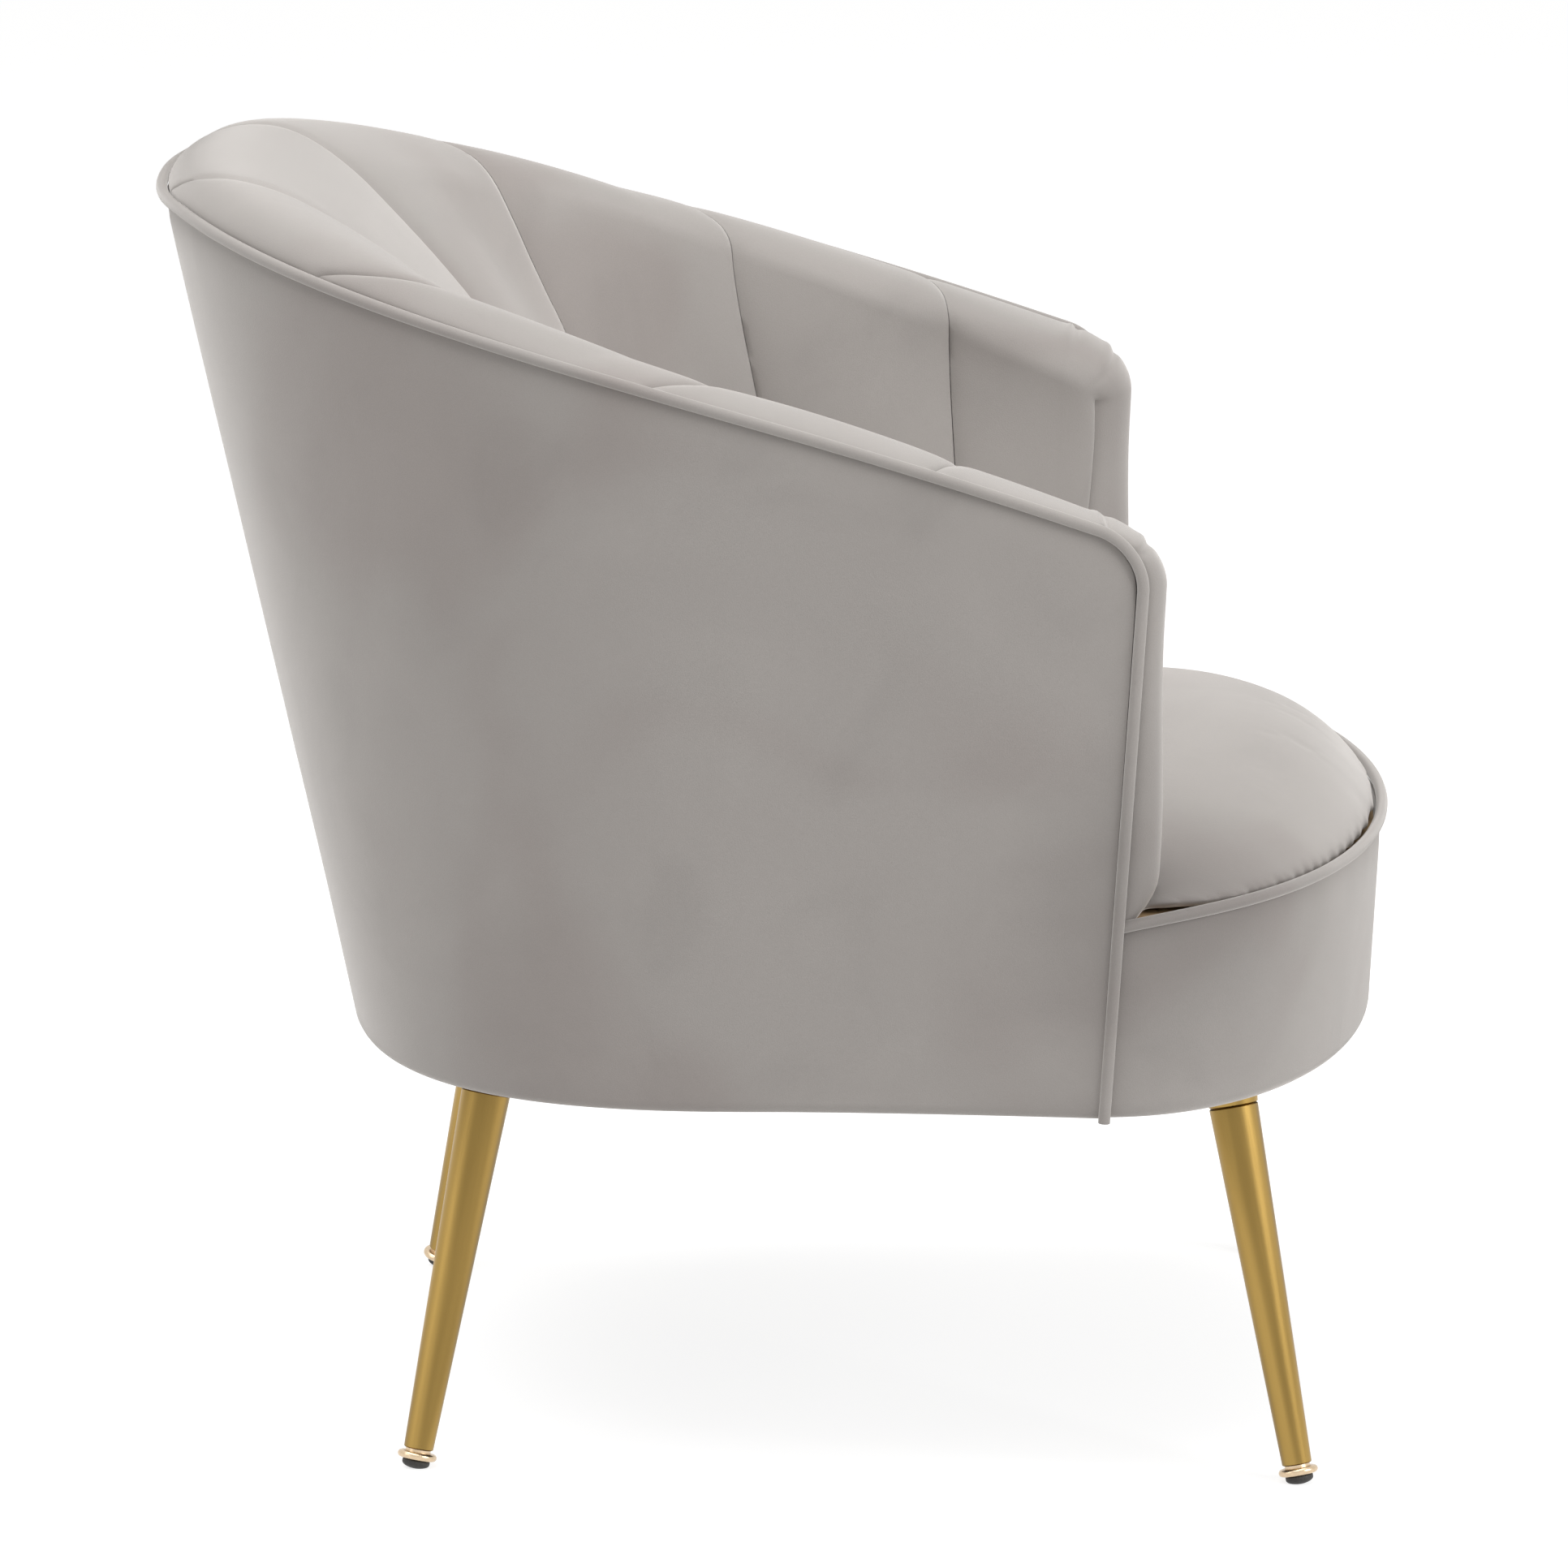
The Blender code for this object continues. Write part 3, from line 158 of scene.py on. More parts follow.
DUST_COVER_INSET = 0.018
THREAD_RADIUS = 0.0040
STEM_LENGTH = 0.0246
HUB_RADIUS = 0.0078
HUB_HEIGHT = 0.0017
FLANGE_RADIUS = 0.0121
FLANGE_HEIGHT = 0.0046
PAD_RADIUS = 0.0085
PAD_HEIGHT = 0.0056
PAD_DOME_HEIGHT = 0.0036
PAD_FLAT_DEPTH = 0.0006
CROWN_GROWTH = 4.57
SEAT_CROWN_SHARE = 0.6

# Sizes that the shown pieces alone have
SKIN_GAP = 0.0006
CORD_RADIUS = 0.0036
PIPING_CLEARANCE = 0.0041
BORDER_CLEARANCE = 0.0012
ARM_FOOT_HEIGHT = 0.024
ARM_FOOT_TUCK = 0.42
SEAT_PIPING_SWEEP_DEG = 90.0
CUSHION_PRESS = 0.0030
CROWN_POWER = 2.4
PLEAT_TURNS_DEG = (12.0, 52.0)
PLEAT_WIDTH_DEG = 4.5
PLEAT_RIDGE = 0.7
PLEAT_RIDGE_OFFSET = 1.6
PLATE_RADIUS = 0.0164
PLATE_FACE_RADIUS = 0.0152
PLATE_BEVEL = 0.001
PLATE_FLARE = (0.08, 0.92)
THREAD_PITCH = 0.00125
THREAD_ROOT_SHARE = 0.85

# Where seat and left arm front meet, and how near that spot the painted shade is darkest
SHADED_SEAT_CORNER = (0.335, -0.262, 0.372)
CORNER_SHADE_CORE = 0.03

# Filling and unevenness of the soft pieces
FILL_FRAMES = 20
FILL_VOXEL = 0.006
FILL_PRESSURE = 4.0
FILL_CAP = 0.006
SEWN_DEPTH = 0.006
SEWN_REACH = 0.010
RELIEF_DEPTH = 0.012
PUCKER_STRETCH = 0.4
WRINKLE_STRETCH = (0.5, 1.4)
DENTS_PER_METRE = 9.0
WAVES_PER_METRE = 7.0
DUST_BOSS_HOLD = 1.5
DUST_BOSS_REACH = 0.10
DUST_EDGE_REACH = 0.12
DUST_RIPPLE = 0.5
DUST_RIPPLES_PER_METRE = 9.0

# Mesh density and shading
PLAN_SAMPLES = 400
CHANNEL_COLUMNS = 34
ROLL_ROWS = 24
FACE_ROWS = 40
CORNER_STEPS = 36
COVER_COLUMNS = 180
COVER_ROWS = 34
BORDER_COLUMNS = 96
TURN_SEGMENTS = 64
BOW_COLUMNS = 60
CUSHION_RINGS = 26
CUSHION_WALL_RINGS = 7
CUSHION_RING_POWER = 1.3
EAR_STEPS = 24
DUST_RINGS = 14
LIP_STEPS = 8
CORD_BEVEL_STEPS = 5
LEG_RINGS = 12
DOME_STEPS = 12
BULGE_STEPS = 17
SHARP_DEG = 60.0
TURNED_SHARP_DEG = 35.0
MERGE_DISTANCE = 1e-5
CHANNEL_ROWS = ROLL_ROWS + FACE_ROWS + 1

UP = np.array((0.0, 0.0, 1.0))
Z_AXIS = Vector((0.0, 0.0, 1.0))
SHARE_STEP = 1e-3


# Small helpers

def ease(low, high, value):
    """Go smoothly from 0 at low to 1 at high."""
    part = min(max((value - low) / (high - low), 0.0), 1.0)
    return part * part * (3 - 2 * part)


def back_to_arm(back, arm, share, end=BLEND_END_SHARE, power=BLEND_POWER):
    """A size that has one value at the back and another along the arms."""
    part = min(abs(share) / end, 1.0) ** power
    return back + (arm - back) * part


def bezier(a, b, c, d, steps):
    """Points along a cubic curve, both ends included."""
    t = np.linspace(0.0, 1.0, steps + 1)[:, None]
    return (1 - t) ** 3 * a + 3 * (1 - t) ** 2 * t * b + 3 * (1 - t) * t ** 2 * c + t ** 3 * d


def rough(x, y, z, scale):
    """Smooth noise from -1 to 1 at a place, whose lumps measure 1 / scale metres."""
    return noise.noise(Vector((x * scale, y * scale, z * scale)))


# Plans of the tub

class Plan:
    """Half of a tub outline seen from above: a superellipse round the back, then an arm."""

    def __init__(self, half_width, back_y, power, front_half_width, front_y):
        angle = np.linspace(0.0, math.pi / 2, PLAN_SAMPLES)
        round_x = half_width * np.sin(angle) ** (2 / power)
        round_y = back_y * np.cos(angle) ** (2 / power)
        arm_y = np.linspace(0.0, front_y, PLAN_SAMPLES)[1:]
        arm_x = half_width + (front_half_width - half_width) * (arm_y / front_y) ** ARM_CURVE_POWER
        self.x = np.concatenate((round_x, arm_x))
        self.y = np.concatenate((round_y, arm_y))
        run = np.cumsum(np.hypot(np.diff(self.x), np.diff(self.y)))
        self.length = run[-1]
        self.share = np.concatenate(((0.0,), run / run[-1]))

    def point(self, share, z):
        x = np.interp(abs(share), self.share, self.x)
        y = np.interp(abs(share), self.share, self.y)
        return np.array((math.copysign(x, share), y, z))


RIM = Plan(RIM_HALF_WIDTH, RIM_BACK_Y, RIM_POWER, RIM_HALF_WIDTH, RIM_FRONT_Y)
BASE = Plan(BASE_HALF_WIDTH, BASE_BACK_Y, BASE_POWER, BASE_FRONT_HALF_WIDTH, BASE_FRONT_Y)
SHOULDER = Plan(
    RIM_HALF_WIDTH - ARM_THICKNESS,
    RIM_BACK_Y - BACK_THICKNESS,
    SHOULDER_POWER,
    RIM_HALF_WIDTH - ARM_THICKNESS,
    RIM_FRONT_Y + FRONT_WRAP,
)


def rim_z(share):
    """Height of the rim: level across the back, then falling to the arm fronts."""
    run = max(0.0, abs(share) - RIM_LEVEL_SHARE) / (1 - RIM_LEVEL_SHARE)
    return RIM_BACK_Z + (RIM_FRONT_Z - RIM_BACK_Z) * run ** RIM_FALL_POWER


def outer(share, z):
    """A point of the tub's outside, which is ruled from its bottom edge to its rim."""
    part = (z - BODY_BOTTOM_Z) / (rim_z(share) - BODY_BOTTOM_Z)
    point = BASE.point(share, z) * (1 - part) + RIM.point(share, z) * part
    point[2] = z
    return point


def along(share, z):
    """Unit vector along the outside towards +share, level."""
    step = outer(min(share + SHARE_STEP, 1.0), z) - outer(max(share - SHARE_STEP, -1.0), z)
    return step / np.linalg.norm(step)


def inward_at(share, z):
    """Unit vector from the outside towards the sitter, level."""
    tangent = along(share, z)
    return np.array((tangent[1], -tangent[0], 0.0))


def forward_at(share, z):
    """Unit vector along the outside towards the nearer arm front, level."""
    return along(share, z) * math.copysign(1.0, share)


SEAT_LINE = Plan(
    SEAT_HALF_WIDTH,
    SEAT_BACK_Y,
    SEAT_POWER,
    SEAT_FRONT_HALF_WIDTH,
    outer(1.0, DECK_Z)[1] + FRONT_WRAP,
)
CORNER_SHARE = 1 - CORNER_RADIUS / RIM.length
SEAM_SHARE = SEAM_GAP / 2 / RIM.length


def turned_share(turn):
    """Share of the rim's rounded front corner after it has turned by this angle."""
    return 1 - CORNER_RADIUS * (1 - math.sin(turn)) / RIM.length


def corner_turns():
    return np.linspace(0.0, math.pi / 2, CORNER_STEPS + 1)


def rim_columns(setback, steps):
    """Columns (share, top height) of the tub's edge, set back from the piping's middle."""
    half = [(share, rim_z(share) - setback) for share in np.linspace(0.0, CORNER_SHARE, steps)]
    half = half[:-1]
    for turn in corner_turns():
        share = turned_share(turn)
        top = rim_z(share) - CORNER_RADIUS * (1 - math.cos(turn)) - setback * math.cos(turn)
        half.append((share - setback * math.sin(turn) / RIM.length, top))
    return [(-share, top) for share, top in reversed(half[1:])] + half


# Seat outline

def seat_piping_z(sweep):
    """Height of the seat piping: low under the arms and lifted by the cushion between."""
    part = abs(sweep) / (math.pi / 2)
    return SEAT_PIPING_END_Z + SEAT_PIPING_RISE * (1 - part ** SEAT_PIPING_POWER)


def border(sweep, z, inset=0.0):
    """A point of the seat's bowed front; the sweep runs from -90 to 90 degrees."""
    end = outer(1.0, z)
    half_width = end[0] - BORDER_STEP
    start_y = end[1] - BORDER_CLEARANCE
    part = (z - BODY_BOTTOM_Z) / (DECK_Z - BODY_BOTTOM_Z)
    front_y = BORDER_FRONT_BASE_Y + (BORDER_FRONT_TOP_Y - BORDER_FRONT_BASE_Y) * part
    depth = start_y - front_y
    normal = np.array((math.sin(sweep) * depth, -math.cos(sweep) * half_width, 0.0))
    point = np.array((half_width * math.sin(sweep), start_y - depth * math.cos(sweep), z))
    return point - normal / np.linalg.norm(normal) * inset


def border_sweeps(limit=math.pi / 2, steps=BORDER_COLUMNS):
    return np.linspace(-limit, limit, steps + 1)


# Blender objects

def settings():
    return bpy.context.scene.tub_chair


def new_piece(name, data, finish, slot, body="chair"):
    """Link a new piece, give it its finish, and let it ride on its body; the slot is not used."""
    item = bpy.data.objects.new(name, data)
    bpy.context.scene.collection.objects.link(item)
    data.materials.append(finish)
    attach(item, body)
    return item


def finished_mesh(name, bm, sharp_deg=SHARP_DEG):
    """Turn a bmesh into a smooth mesh whose faces point out."""
    bmesh.ops.recalc_face_normals(bm, faces=bm.faces[:])
    mesh = bpy.data.meshes.new(name)
    bm.to_mesh(mesh)
    bm.free()
    mesh.shade_smooth()
    mesh.set_sharp_from_angle(angle=math.radians(sharp_deg))
    return mesh


def add_loop(bm, points):
    return [bm.verts.new(point) for point in points]


def bridge(bm, first, second):
    """Quads between two closed rows of vertices."""
    count = len(first)
    for i in range(count):
        j = (i + 1) % count
        bm.faces.new((first[i], first[j], second[j], second[i]))


def bridge_all(bm, rings):
    for first, second in zip(rings[:-1], rings[1:]):
        bridge(bm, first, second)


def grid_faces(columns, rows, first=0):
    """Quads of a grid whose points run down one column after another."""
    faces = []
    for column in range(columns - 1):
        for row in range(rows - 1):
            a = first + column * rows + row
            faces.append((a, a + 1, a + rows + 1, a + rows))
    return faces


def padded_mesh(name, front, back, faces, relief):
    """Closed mesh between two sheets of one pattern; relief moves the front one outwards."""
    bm = bmesh.new()
    front_verts = add_loop(bm, front)
    for face in faces:
        bm.faces.new([front_verts[i] for i in face])
    bm.normal_update()
    depth = front - back
    facing = sum(float(np.dot(depth[i], v.normal)) for i, v in enumerate(front_verts))
    outward = math.copysign(1.0, facing)
    moves = [v.normal * (outward * relief[i]) for i, v in enumerate(front_verts)]
    bm.verts.index_update()
    edges = [edge for edge in bm.edges if len(edge.link_faces) == 1]
    rims = [(edge.verts[0].index, edge.verts[1].index) for edge in edges]
    for vertex, move in zip(front_verts, moves):
        vertex.co += move
    back_verts = add_loop(bm, back)
    for face in faces:
        bm.faces.new([back_verts[i] for i in reversed(face)])
    for low, high in rims:
        wall = (front_verts[low], front_verts[high], back_verts[high], back_verts[low])
        bm.faces.new(wall)
    return finished_mesh(name, bm)


def turned_mesh(name, profile, closed=False):
    """Spin a profile of (radius, height) points round the local Z axis."""
    bm = bmesh.new()
    verts = add_loop(bm, [(radius, 0.0, height) for radius, height in profile])
    pairs = list(zip(verts[:-1], verts[1:]))
    if closed:
        pairs.append((verts[-1], verts[0]))
    edges = [bm.edges.new(pair) for pair in pairs]
    turn = {"axis": (0, 0, 1), "cent": (0, 0, 0), "angle": 2 * math.pi}
    bmesh.ops.spin(bm, geom=verts + edges, steps=TURN_SEGMENTS, use_merge=True, **turn)
    bmesh.ops.remove_doubles(bm, verts=bm.verts[:], dist=MERGE_DISTANCE)
    return finished_mesh(name, bm, TURNED_SHARP_DEG)


def cord_curve(name, path, radius):
    """Round cord along a path, with closed ends."""
    curve = bpy.data.curves.new(name, "CURVE")
    curve.dimensions = "3D"
    curve.bevel_depth = radius
    curve.bevel_resolution = CORD_BEVEL_STEPS
    curve.use_fill_caps = True
    spline = curve.splines.new("POLY")
    spline.points.add(len(path) - 1)
    for point, place in zip(spline.points, path):
        point.co = (*place, 1.0)
    return curve


# Finishes

GRAIN_STRENGTH = 0.4
GRAIN_DEPTH = 0.0002
PORES_PER_RING = 6
PORE_STRENGTH = 0.3
PORE_DEPTH = 0.0003
WEAVE_DEPTH = 0.0004


def grey(tone):
    return (tone, tone, tone)


def shade(colour, factor):
    return tuple(part * factor for part in colour)


class Tree:
    """Short way to add and join the nodes of a material or of the world."""

    def __init__(self, owner):
        owner.use_nodes = True
        self.nodes = owner.node_tree.nodes
        self.links = owner.node_tree.links
        self.nodes.clear()

    def give(self, socket, value):
        """Join a socket to another one, or set its value."""
        if isinstance(value, bpy.types.NodeSocket):
            self.links.new(value, socket)
        else:
            socket.default_value = value

    def add(self, kind, inputs=(), **options):
        node = self.nodes.new("ShaderNode" + kind)
        for name, value in options.items():
            setattr(node, name, value)
        for name, value in dict(inputs).items():
            self.give(node.inputs[name], value)
        return node

    def place(self, scale=(1.0, 1.0, 1.0)):
        coords = self.add("TexCoord").outputs["Object"]
        return self.add("Mapping", {"Vector": coords, "Scale": scale}).outputs[0]

    def cloud(self, where, scale, detail=3.0, distortion=0.0):
        inputs = {"Vector": where, "Scale": scale, "Detail": detail, "Distortion": distortion}
        return self.add("TexNoise", inputs).outputs["Fac"]

    def spread(self, value, low, high, to_low, to_high):
        inputs = {"Value": value, "From Min": low, "From Max": high}
        inputs.update({"To Min": to_low, "To Max": to_high})
        return self.add("MapRange", inputs).outputs[0]

    def tones(self, factor, stops):
        """Colours between the given (place, colour) stops."""
        ramp = self.add("ValToRGB", {"Fac": factor})
        ramp.color_ramp.interpolation = "EASE"
        while len(ramp.color_ramp.elements) < len(stops):
            ramp.color_ramp.elements.new(0.5)
        for element, (place, colour) in zip(ramp.color_ramp.elements, stops):
            element.position = place
            element.color = (*colour, 1.0)
        return ramp.outputs["Color"]

    def mix(self, factor, first, second, blend_type="MIX"):
        inputs = {0: factor, 6: first, 7: second}
        return self.add("Mix", inputs, data_type="RGBA", blend_type=blend_type).outputs[2]

    def dapple(self, tones, strength, factor, *marks):
        """Lay soft marks over colours; each mark is a place on the factor and its grey."""
        marks = self.tones(factor, [(place, grey(tone)) for place, tone in marks])
        return self.mix(strength, tones, marks, "OVERLAY")

    def pick(self, operation, first, second):
        """The smaller or the larger of two values."""
        return self.add("Math", {0: first, 1: second}, operation=operation).outputs[0]

    def bump(self, height, distance, normal=None):
        inputs = {"Height": height, "Distance": distance, "Strength": 1.0}
        if normal is not None:
            inputs["Normal"] = normal
        return self.add("Bump", inputs).outputs[0]


class Finish(Tree):
    """The nodes of one material, round its Principled shader."""

    def __init__(self, name):
        self.material = bpy.data.materials.get(name) or bpy.data.materials.new(name)
        super().__init__(self.material)
        self.output = self.add("OutputMaterial")
        self.shader = self.add("BsdfPrincipled")
        self.give(self.output.inputs["Surface"], self.shader.outputs[0])

    def set(self, **sockets):
        """Set or join the shader's own sockets; an underscore stands for a space."""
        for name, value in sockets.items():
            self.give(self.shader.inputs[name.replace("_", " ")], value)
        return self.material


def velvet():
    """Short-pile velvet: a nap turned in broad patches, smudges, a fine grain, a sheen and painted
    shade where seat and arm fronts meet.
    """
    look = settings().velvet
    tree = Finish("velvet")
    where = tree.place()
    patches = tree.cloud(where, look.patch_scale, detail=2.0, distortion=0.6)
    smudges = tree.cloud(where, look.smudge_scale, detail=4.0, distortion=1.1)
    grain = tree.cloud(where, look.grain_scale, detail=2.0)
    base = tuple(look.colour)
    turned = tuple(look.shadow_colour)
    tones = tree.tones(patches, ((0.38, turned), (0.52, base), (0.66, shade(base, 1.04))))
    tones = tree.dapple(tones, look.smudges, smudges, (0.25, 0.44), (0.50, 0.5), (0.75, 0.53))
    tones = tree.dapple(tones, GRAIN_STRENGTH, grain, (0.3, 0.47), (0.7, 0.53))
    # Painted shade: the velvet is darkened round the spots where the seat meets each arm front.
    corners = []
    for side in (1, -1):
        spot = {0: where, 1: (side * SHADED_SEAT_CORNER[0], SHADED_SEAT_CORNER[1], SHADED_SEAT_CORNER[2])}
        corners.append(tree.add("VectorMath", spot, operation="DISTANCE").outputs["Value"])
    nearest = tree.pick("MINIMUM", *corners)
    tone = tree.spread(nearest, CORNER_SHADE_CORE, look.corner_shade_reach, look.corner_shade_tone, 1.0)
    tone = tree.add("CombineColor", dict(enumerate(grey(tone)))).outputs[0]
    tones = tree.mix(1.0, tones, tone, "MULTIPLY")
    rise = tree.bump(grain, look.grain_depth)
    rise = tree.bump(smudges, look.stroke_depth, normal=rise)
    tree.set(Base_Color=tones, Normal=rise, Roughness=look.roughness)
    tree.set(Specular_IOR_Level=0.15, Sheen_Weight=look.sheen)
    return tree.set(Sheen_Roughness=look.sheen_roughness, Sheen_Tint=(*look.sheen_colour, 1.0))


def brushed_metal(name, colour, roughness, brushing):
    """Plated metal, brushed along its length."""
    tree = Finish(name)
    fine = tree.cloud(tree.place((1.0, 1.0, 0.012)), scale=1400.0)
    broad = tree.cloud(tree.place((1.0, 1.0, 0.03)), scale=75.0, detail=1.0)
    light, dark = shade(colour, 1.1), shade(colour, 0.72)
    tones = tree.tones(broad, ((0.36, dark), (0.58, light)))
    gloss = tree.spread(fine, 0.3, 0.7, roughness * 0.85, roughness * 1.2)
    rise = tree.bump(fine, brushing)
    tree.set(Base_Color=tones, Metallic=1.0, Roughness=gloss, Normal=rise)
    return tree.set(Anisotropic=0.35)


def plated_metal(name, colour, roughness):
    """Turned and plated metal, with faint stains."""
    tree = Finish(name)
    stains = tree.cloud(tree.place(), scale=240.0, detail=4.0, distortion=0.5)
    tones = tree.tones(stains, ((0.35, shade(colour, 0.9)), (0.65, colour)))
    gloss = tree.spread(stains, 0.3, 0.7, roughness * 0.8, roughness * 1.3)
    return tree.set(Base_Color=tones, Metallic=1.0, Roughness=gloss)


def moulded(name, colour, roughness, scale):
    """Matte moulded or woven black material with a fine grain."""
    tree = Finish(name)
    grain = tree.cloud(tree.place(), scale)
    tones = tree.tones(grain, ((0.3, shade(colour, 0.8)), (0.7, shade(colour, 1.3))))
    return tree.set(Base_Color=tones, Roughness=roughness, Normal=tree.bump(grain, GRAIN_DEPTH))


def wood(name, colour, scale):
    """Raw board with a long grain."""
    tree = Finish(name)
    grain = tree.cloud(tree.place((1.0, 6.0, 1.0)), scale, detail=5.0, distortion=1.5)
    pores = tree.cloud(tree.place((1.0, 1.0, 9.0)), scale * PORES_PER_RING)
    dark, light = shade(colour, 0.72), shade(colour, 1.15)
    tones = tree.tones(grain, ((0.3, dark), (0.5, colour), (0.7, light)))
    tones = tree.dapple(tones, PORE_STRENGTH, pores, (0.4, 0.4), (0.6, 0.6))
    return tree.set(Base_Color=tones, Roughness=0.7, Normal=tree.bump(pores, PORE_DEPTH))


def woven(name, colour, pitch):
    """Woven strap: two crossed rows of threads."""
    tree = Finish(name)
    where = tree.place()
    warp = tree.add("TexWave", {"Vector": where, "Scale": pitch, "Distortion": 0.3})
    weft = tree.add("TexWave", {"Vector": where, "Scale": pitch}, bands_direction="Y")
    weave = tree.mix(0.5, warp.outputs["Color"], weft.outputs["Color"])
    tones = tree.tones(weave, ((0.2, shade(colour, 0.6)), (0.8, shade(colour, 1.6))))
    return tree.set(Base_Color=tones, Roughness=0.9, Normal=tree.bump(weave, WEAVE_DEPTH))


def give_finish(names, finish):
    """Give CAD nodes that stay in view their finish."""
    for name in names:
        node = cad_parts[name]
        if not node.material_slots:
            node.data.materials.append(finish)
        for slot in node.material_slots:
            slot.link = "OBJECT"
            slot.material = finish


# Padding of the tub

def roll(edge, shoulder, inward, lift, lean, swell, reach):
    """Front curve of the roll, from beside the piping over its crest to the shoulder."""
    start = edge + inward * (CORD_RADIUS + SKIN_GAP) + lift * PIPING_RADIUS / 2
    first = edge + inward * PIPING_RADIUS + lift * swell
    rise = lift * math.cos(lean) - inward * math.sin(lean)
    return bezier(start, first, shoulder + rise * reach, shoulder, ROLL_ROWS)


def roll_back(edge, below, back_shoulder, inward, lift):
    """Underside of the roll, straight from the piping to the frame's inner side."""
    lean_in = max(float(np.dot(below - edge, inward)), 0.0)
    start = edge + inward * (COVER_THICKNESS + SKIN_GAP + lean_in) - lift * 2 * PIPING_RADIUS
    part = np.linspace(0.0, 1.0, ROLL_ROWS + 1)[:, None]
    return start * (1 - part) + back_shoulder * part


@functools.cache
def pad_section(share, turn=0.0):
    """Section of the padding: its front points and its back points, top to bottom."""
    top = rim_z(share) - CORNER_RADIUS * (1 - math.cos(turn))
    edge = outer(share, top)
    inward = inward_at(share, top)
    lift = math.cos(turn) * UP + math.sin(turn) * forward_at(share, top)
    lean_deg = back_to_arm(BACK_LEAN_DEG, ARM_LEAN_DEG, share, LEAN_END_SHARE, LEAN_POWER)
    lean = math.radians(lean_deg)
    fall = (CORNER_RADIUS - SHOULDER_DROP) * (1 - math.cos(turn))
    shoulder = SHOULDER.point(share, rim_z(share) - SHOULDER_DROP - fall)
    seat = SEAT_LINE.point(share, DECK_Z + FIT_GAP)
    round_front = math.sin(turn) ** 2
    swell = back_to_arm(BACK_SWELL, ARM_SWELL, share) * (1 - round_front)
    reach = back_to_arm(BACK_ROLL_REACH, ARM_ROLL_REACH, share) * (1 - round_front)
    swell += FRONT_SWELL * round_front
    reach += FRONT_SWELL * round_front
    over = roll(edge, shoulder, inward, lift, lean, swell, reach)
    down = inward * math.sin(lean) - UP * math.cos(lean)
    first = shoulder + down * back_to_arm(BACK_FACE_REACH, ARM_FACE_REACH, share)
    rise = UP * back_to_arm(BACK_SEAT_REACH, ARM_SEAT_REACH, share)
    face = bezier(shoulder, first, seat + rise - inward * FACE_TOE, seat, FACE_ROWS)
    thickness = back_to_arm(BACK_PAD_THICKNESS, ARM_PAD_THICKNESS, share)
    back_face = face - inward * thickness
    below = outer(share, top - 2 * PIPING_RADIUS)
    under = roll_back(edge, below, back_face[0], inward, lift)
    return np.vstack((over, face[1:])), np.vstack((under, back_face[1:]))


def pad_column(rim_share, face_share, turn=0.0):
    """Column of the padding that leaves the rim at one share and runs down at another."""
    front = []
    back = []
    for row in range(CHANNEL_ROWS):
        part = ease(0.0, SEAM_TURN_END, row / ROLL_ROWS)
        section = pad_section(rim_share + (face_share - rim_share) * part, turn)
        front.append(section[0][row])
        back.append(section[1][row])
    return np.array(front), np.array(back)


def front_column(side, shoulder, back_shoulder):
    """One row of the padding that wraps an arm front, from the piping to the shoulder."""
    z = shoulder[2]
    edge = outer(side, z)
    inward = inward_at(side, z)
    forward = forward_at(side, z)
    lean = math.radians(ARM_LEAN_DEG)
    drop = (RIM_FRONT_Z - z) / (RIM_FRONT_Z - DECK_Z)
    swell = FRONT_SWELL + FRONT_GROWTH * ease(FRONT_GROWTH_FROM, FRONT_GROWTH_TO, drop)
    near_deck = 1 - min((z - DECK_Z) / ARM_FOOT_HEIGHT, 1.0)
    swell *= 1 - ARM_FOOT_TUCK * near_deck ** 2
    over = roll(edge, shoulder, inward, forward, lean, swell, swell)
    return over[:-1], roll_back(edge, edge, back_shoulder, inward, forward)[:-1]


def crown_at(across, row):
    """Swelling of a channel: none at its seams and piping, less at the seat."""
    look = settings().padding
    if row < ROLL_ROWS:
        size = (row / ROLL_ROWS) ** CROWN_GROWTH
    else:
        size = 1 + (SEAT_CROWN_SHARE - 1) * (row - ROLL_ROWS) / FACE_ROWS
    return look.crown * size * (1 - abs(across) ** CROWN_POWER)


def seam_relief(point, from_seam, row):
    """Pinch and small pulls of the velvet beside a sewn seam."""
    look = settings().padding
    fade = min(row / 4, 1.0)
    pinch = -look.pinch * math.exp(-from_seam / look.pinch_width) * fade
    near = math.exp(-from_seam / look.pull_width)
    pulls = rough(*point, look.pull_scale) * look.pull_depth
    return pinch + pulls * near * fade


def channel_reliefs(front, across, both_seams=True):
    """Relief of every point of a channel's grid, given how far across each column is."""
    columns = len(across)
    grid = front[:columns * CHANNEL_ROWS].reshape(columns, CHANNEL_ROWS, 3)
    reliefs = np.zeros(len(front))
    for row in range(CHANNEL_ROWS):
        steps = np.linalg.norm(np.diff(grid[:, row], axis=0), axis=1)
        run = np.concatenate(((0.0,), np.cumsum(steps)))
        for column in range(columns):
            from_seam = run[column]
            if both_seams:
                from_seam = min(from_seam, run[-1] - from_seam)
            relief = crown_at(across[column], row)
            reliefs[column * CHANNEL_ROWS + row] = relief + seam_relief(
                grid[column, row], from_seam, row
            )
    return reliefs


def channel(name, low, high, finish):
    """A channel between two seams, each given by its shares at the rim and on the face."""
    shares = np.linspace(
        np.array(low) + SEAM_SHARE, np.array(high) - SEAM_SHARE, CHANNEL_COLUMNS + 1
    )
    front, back = map(np.vstack, zip(*[pad_column(rim, face) for rim, face in shares]))
    faces = grid_faces(len(shares), CHANNEL_ROWS)
    reliefs = channel_reliefs(front, np.linspace(-1.0, 1.0, len(shares)))
    mesh = padded_mesh(name, front, back, faces, reliefs)
    return new_piece(name, mesh, finish, "velvet")


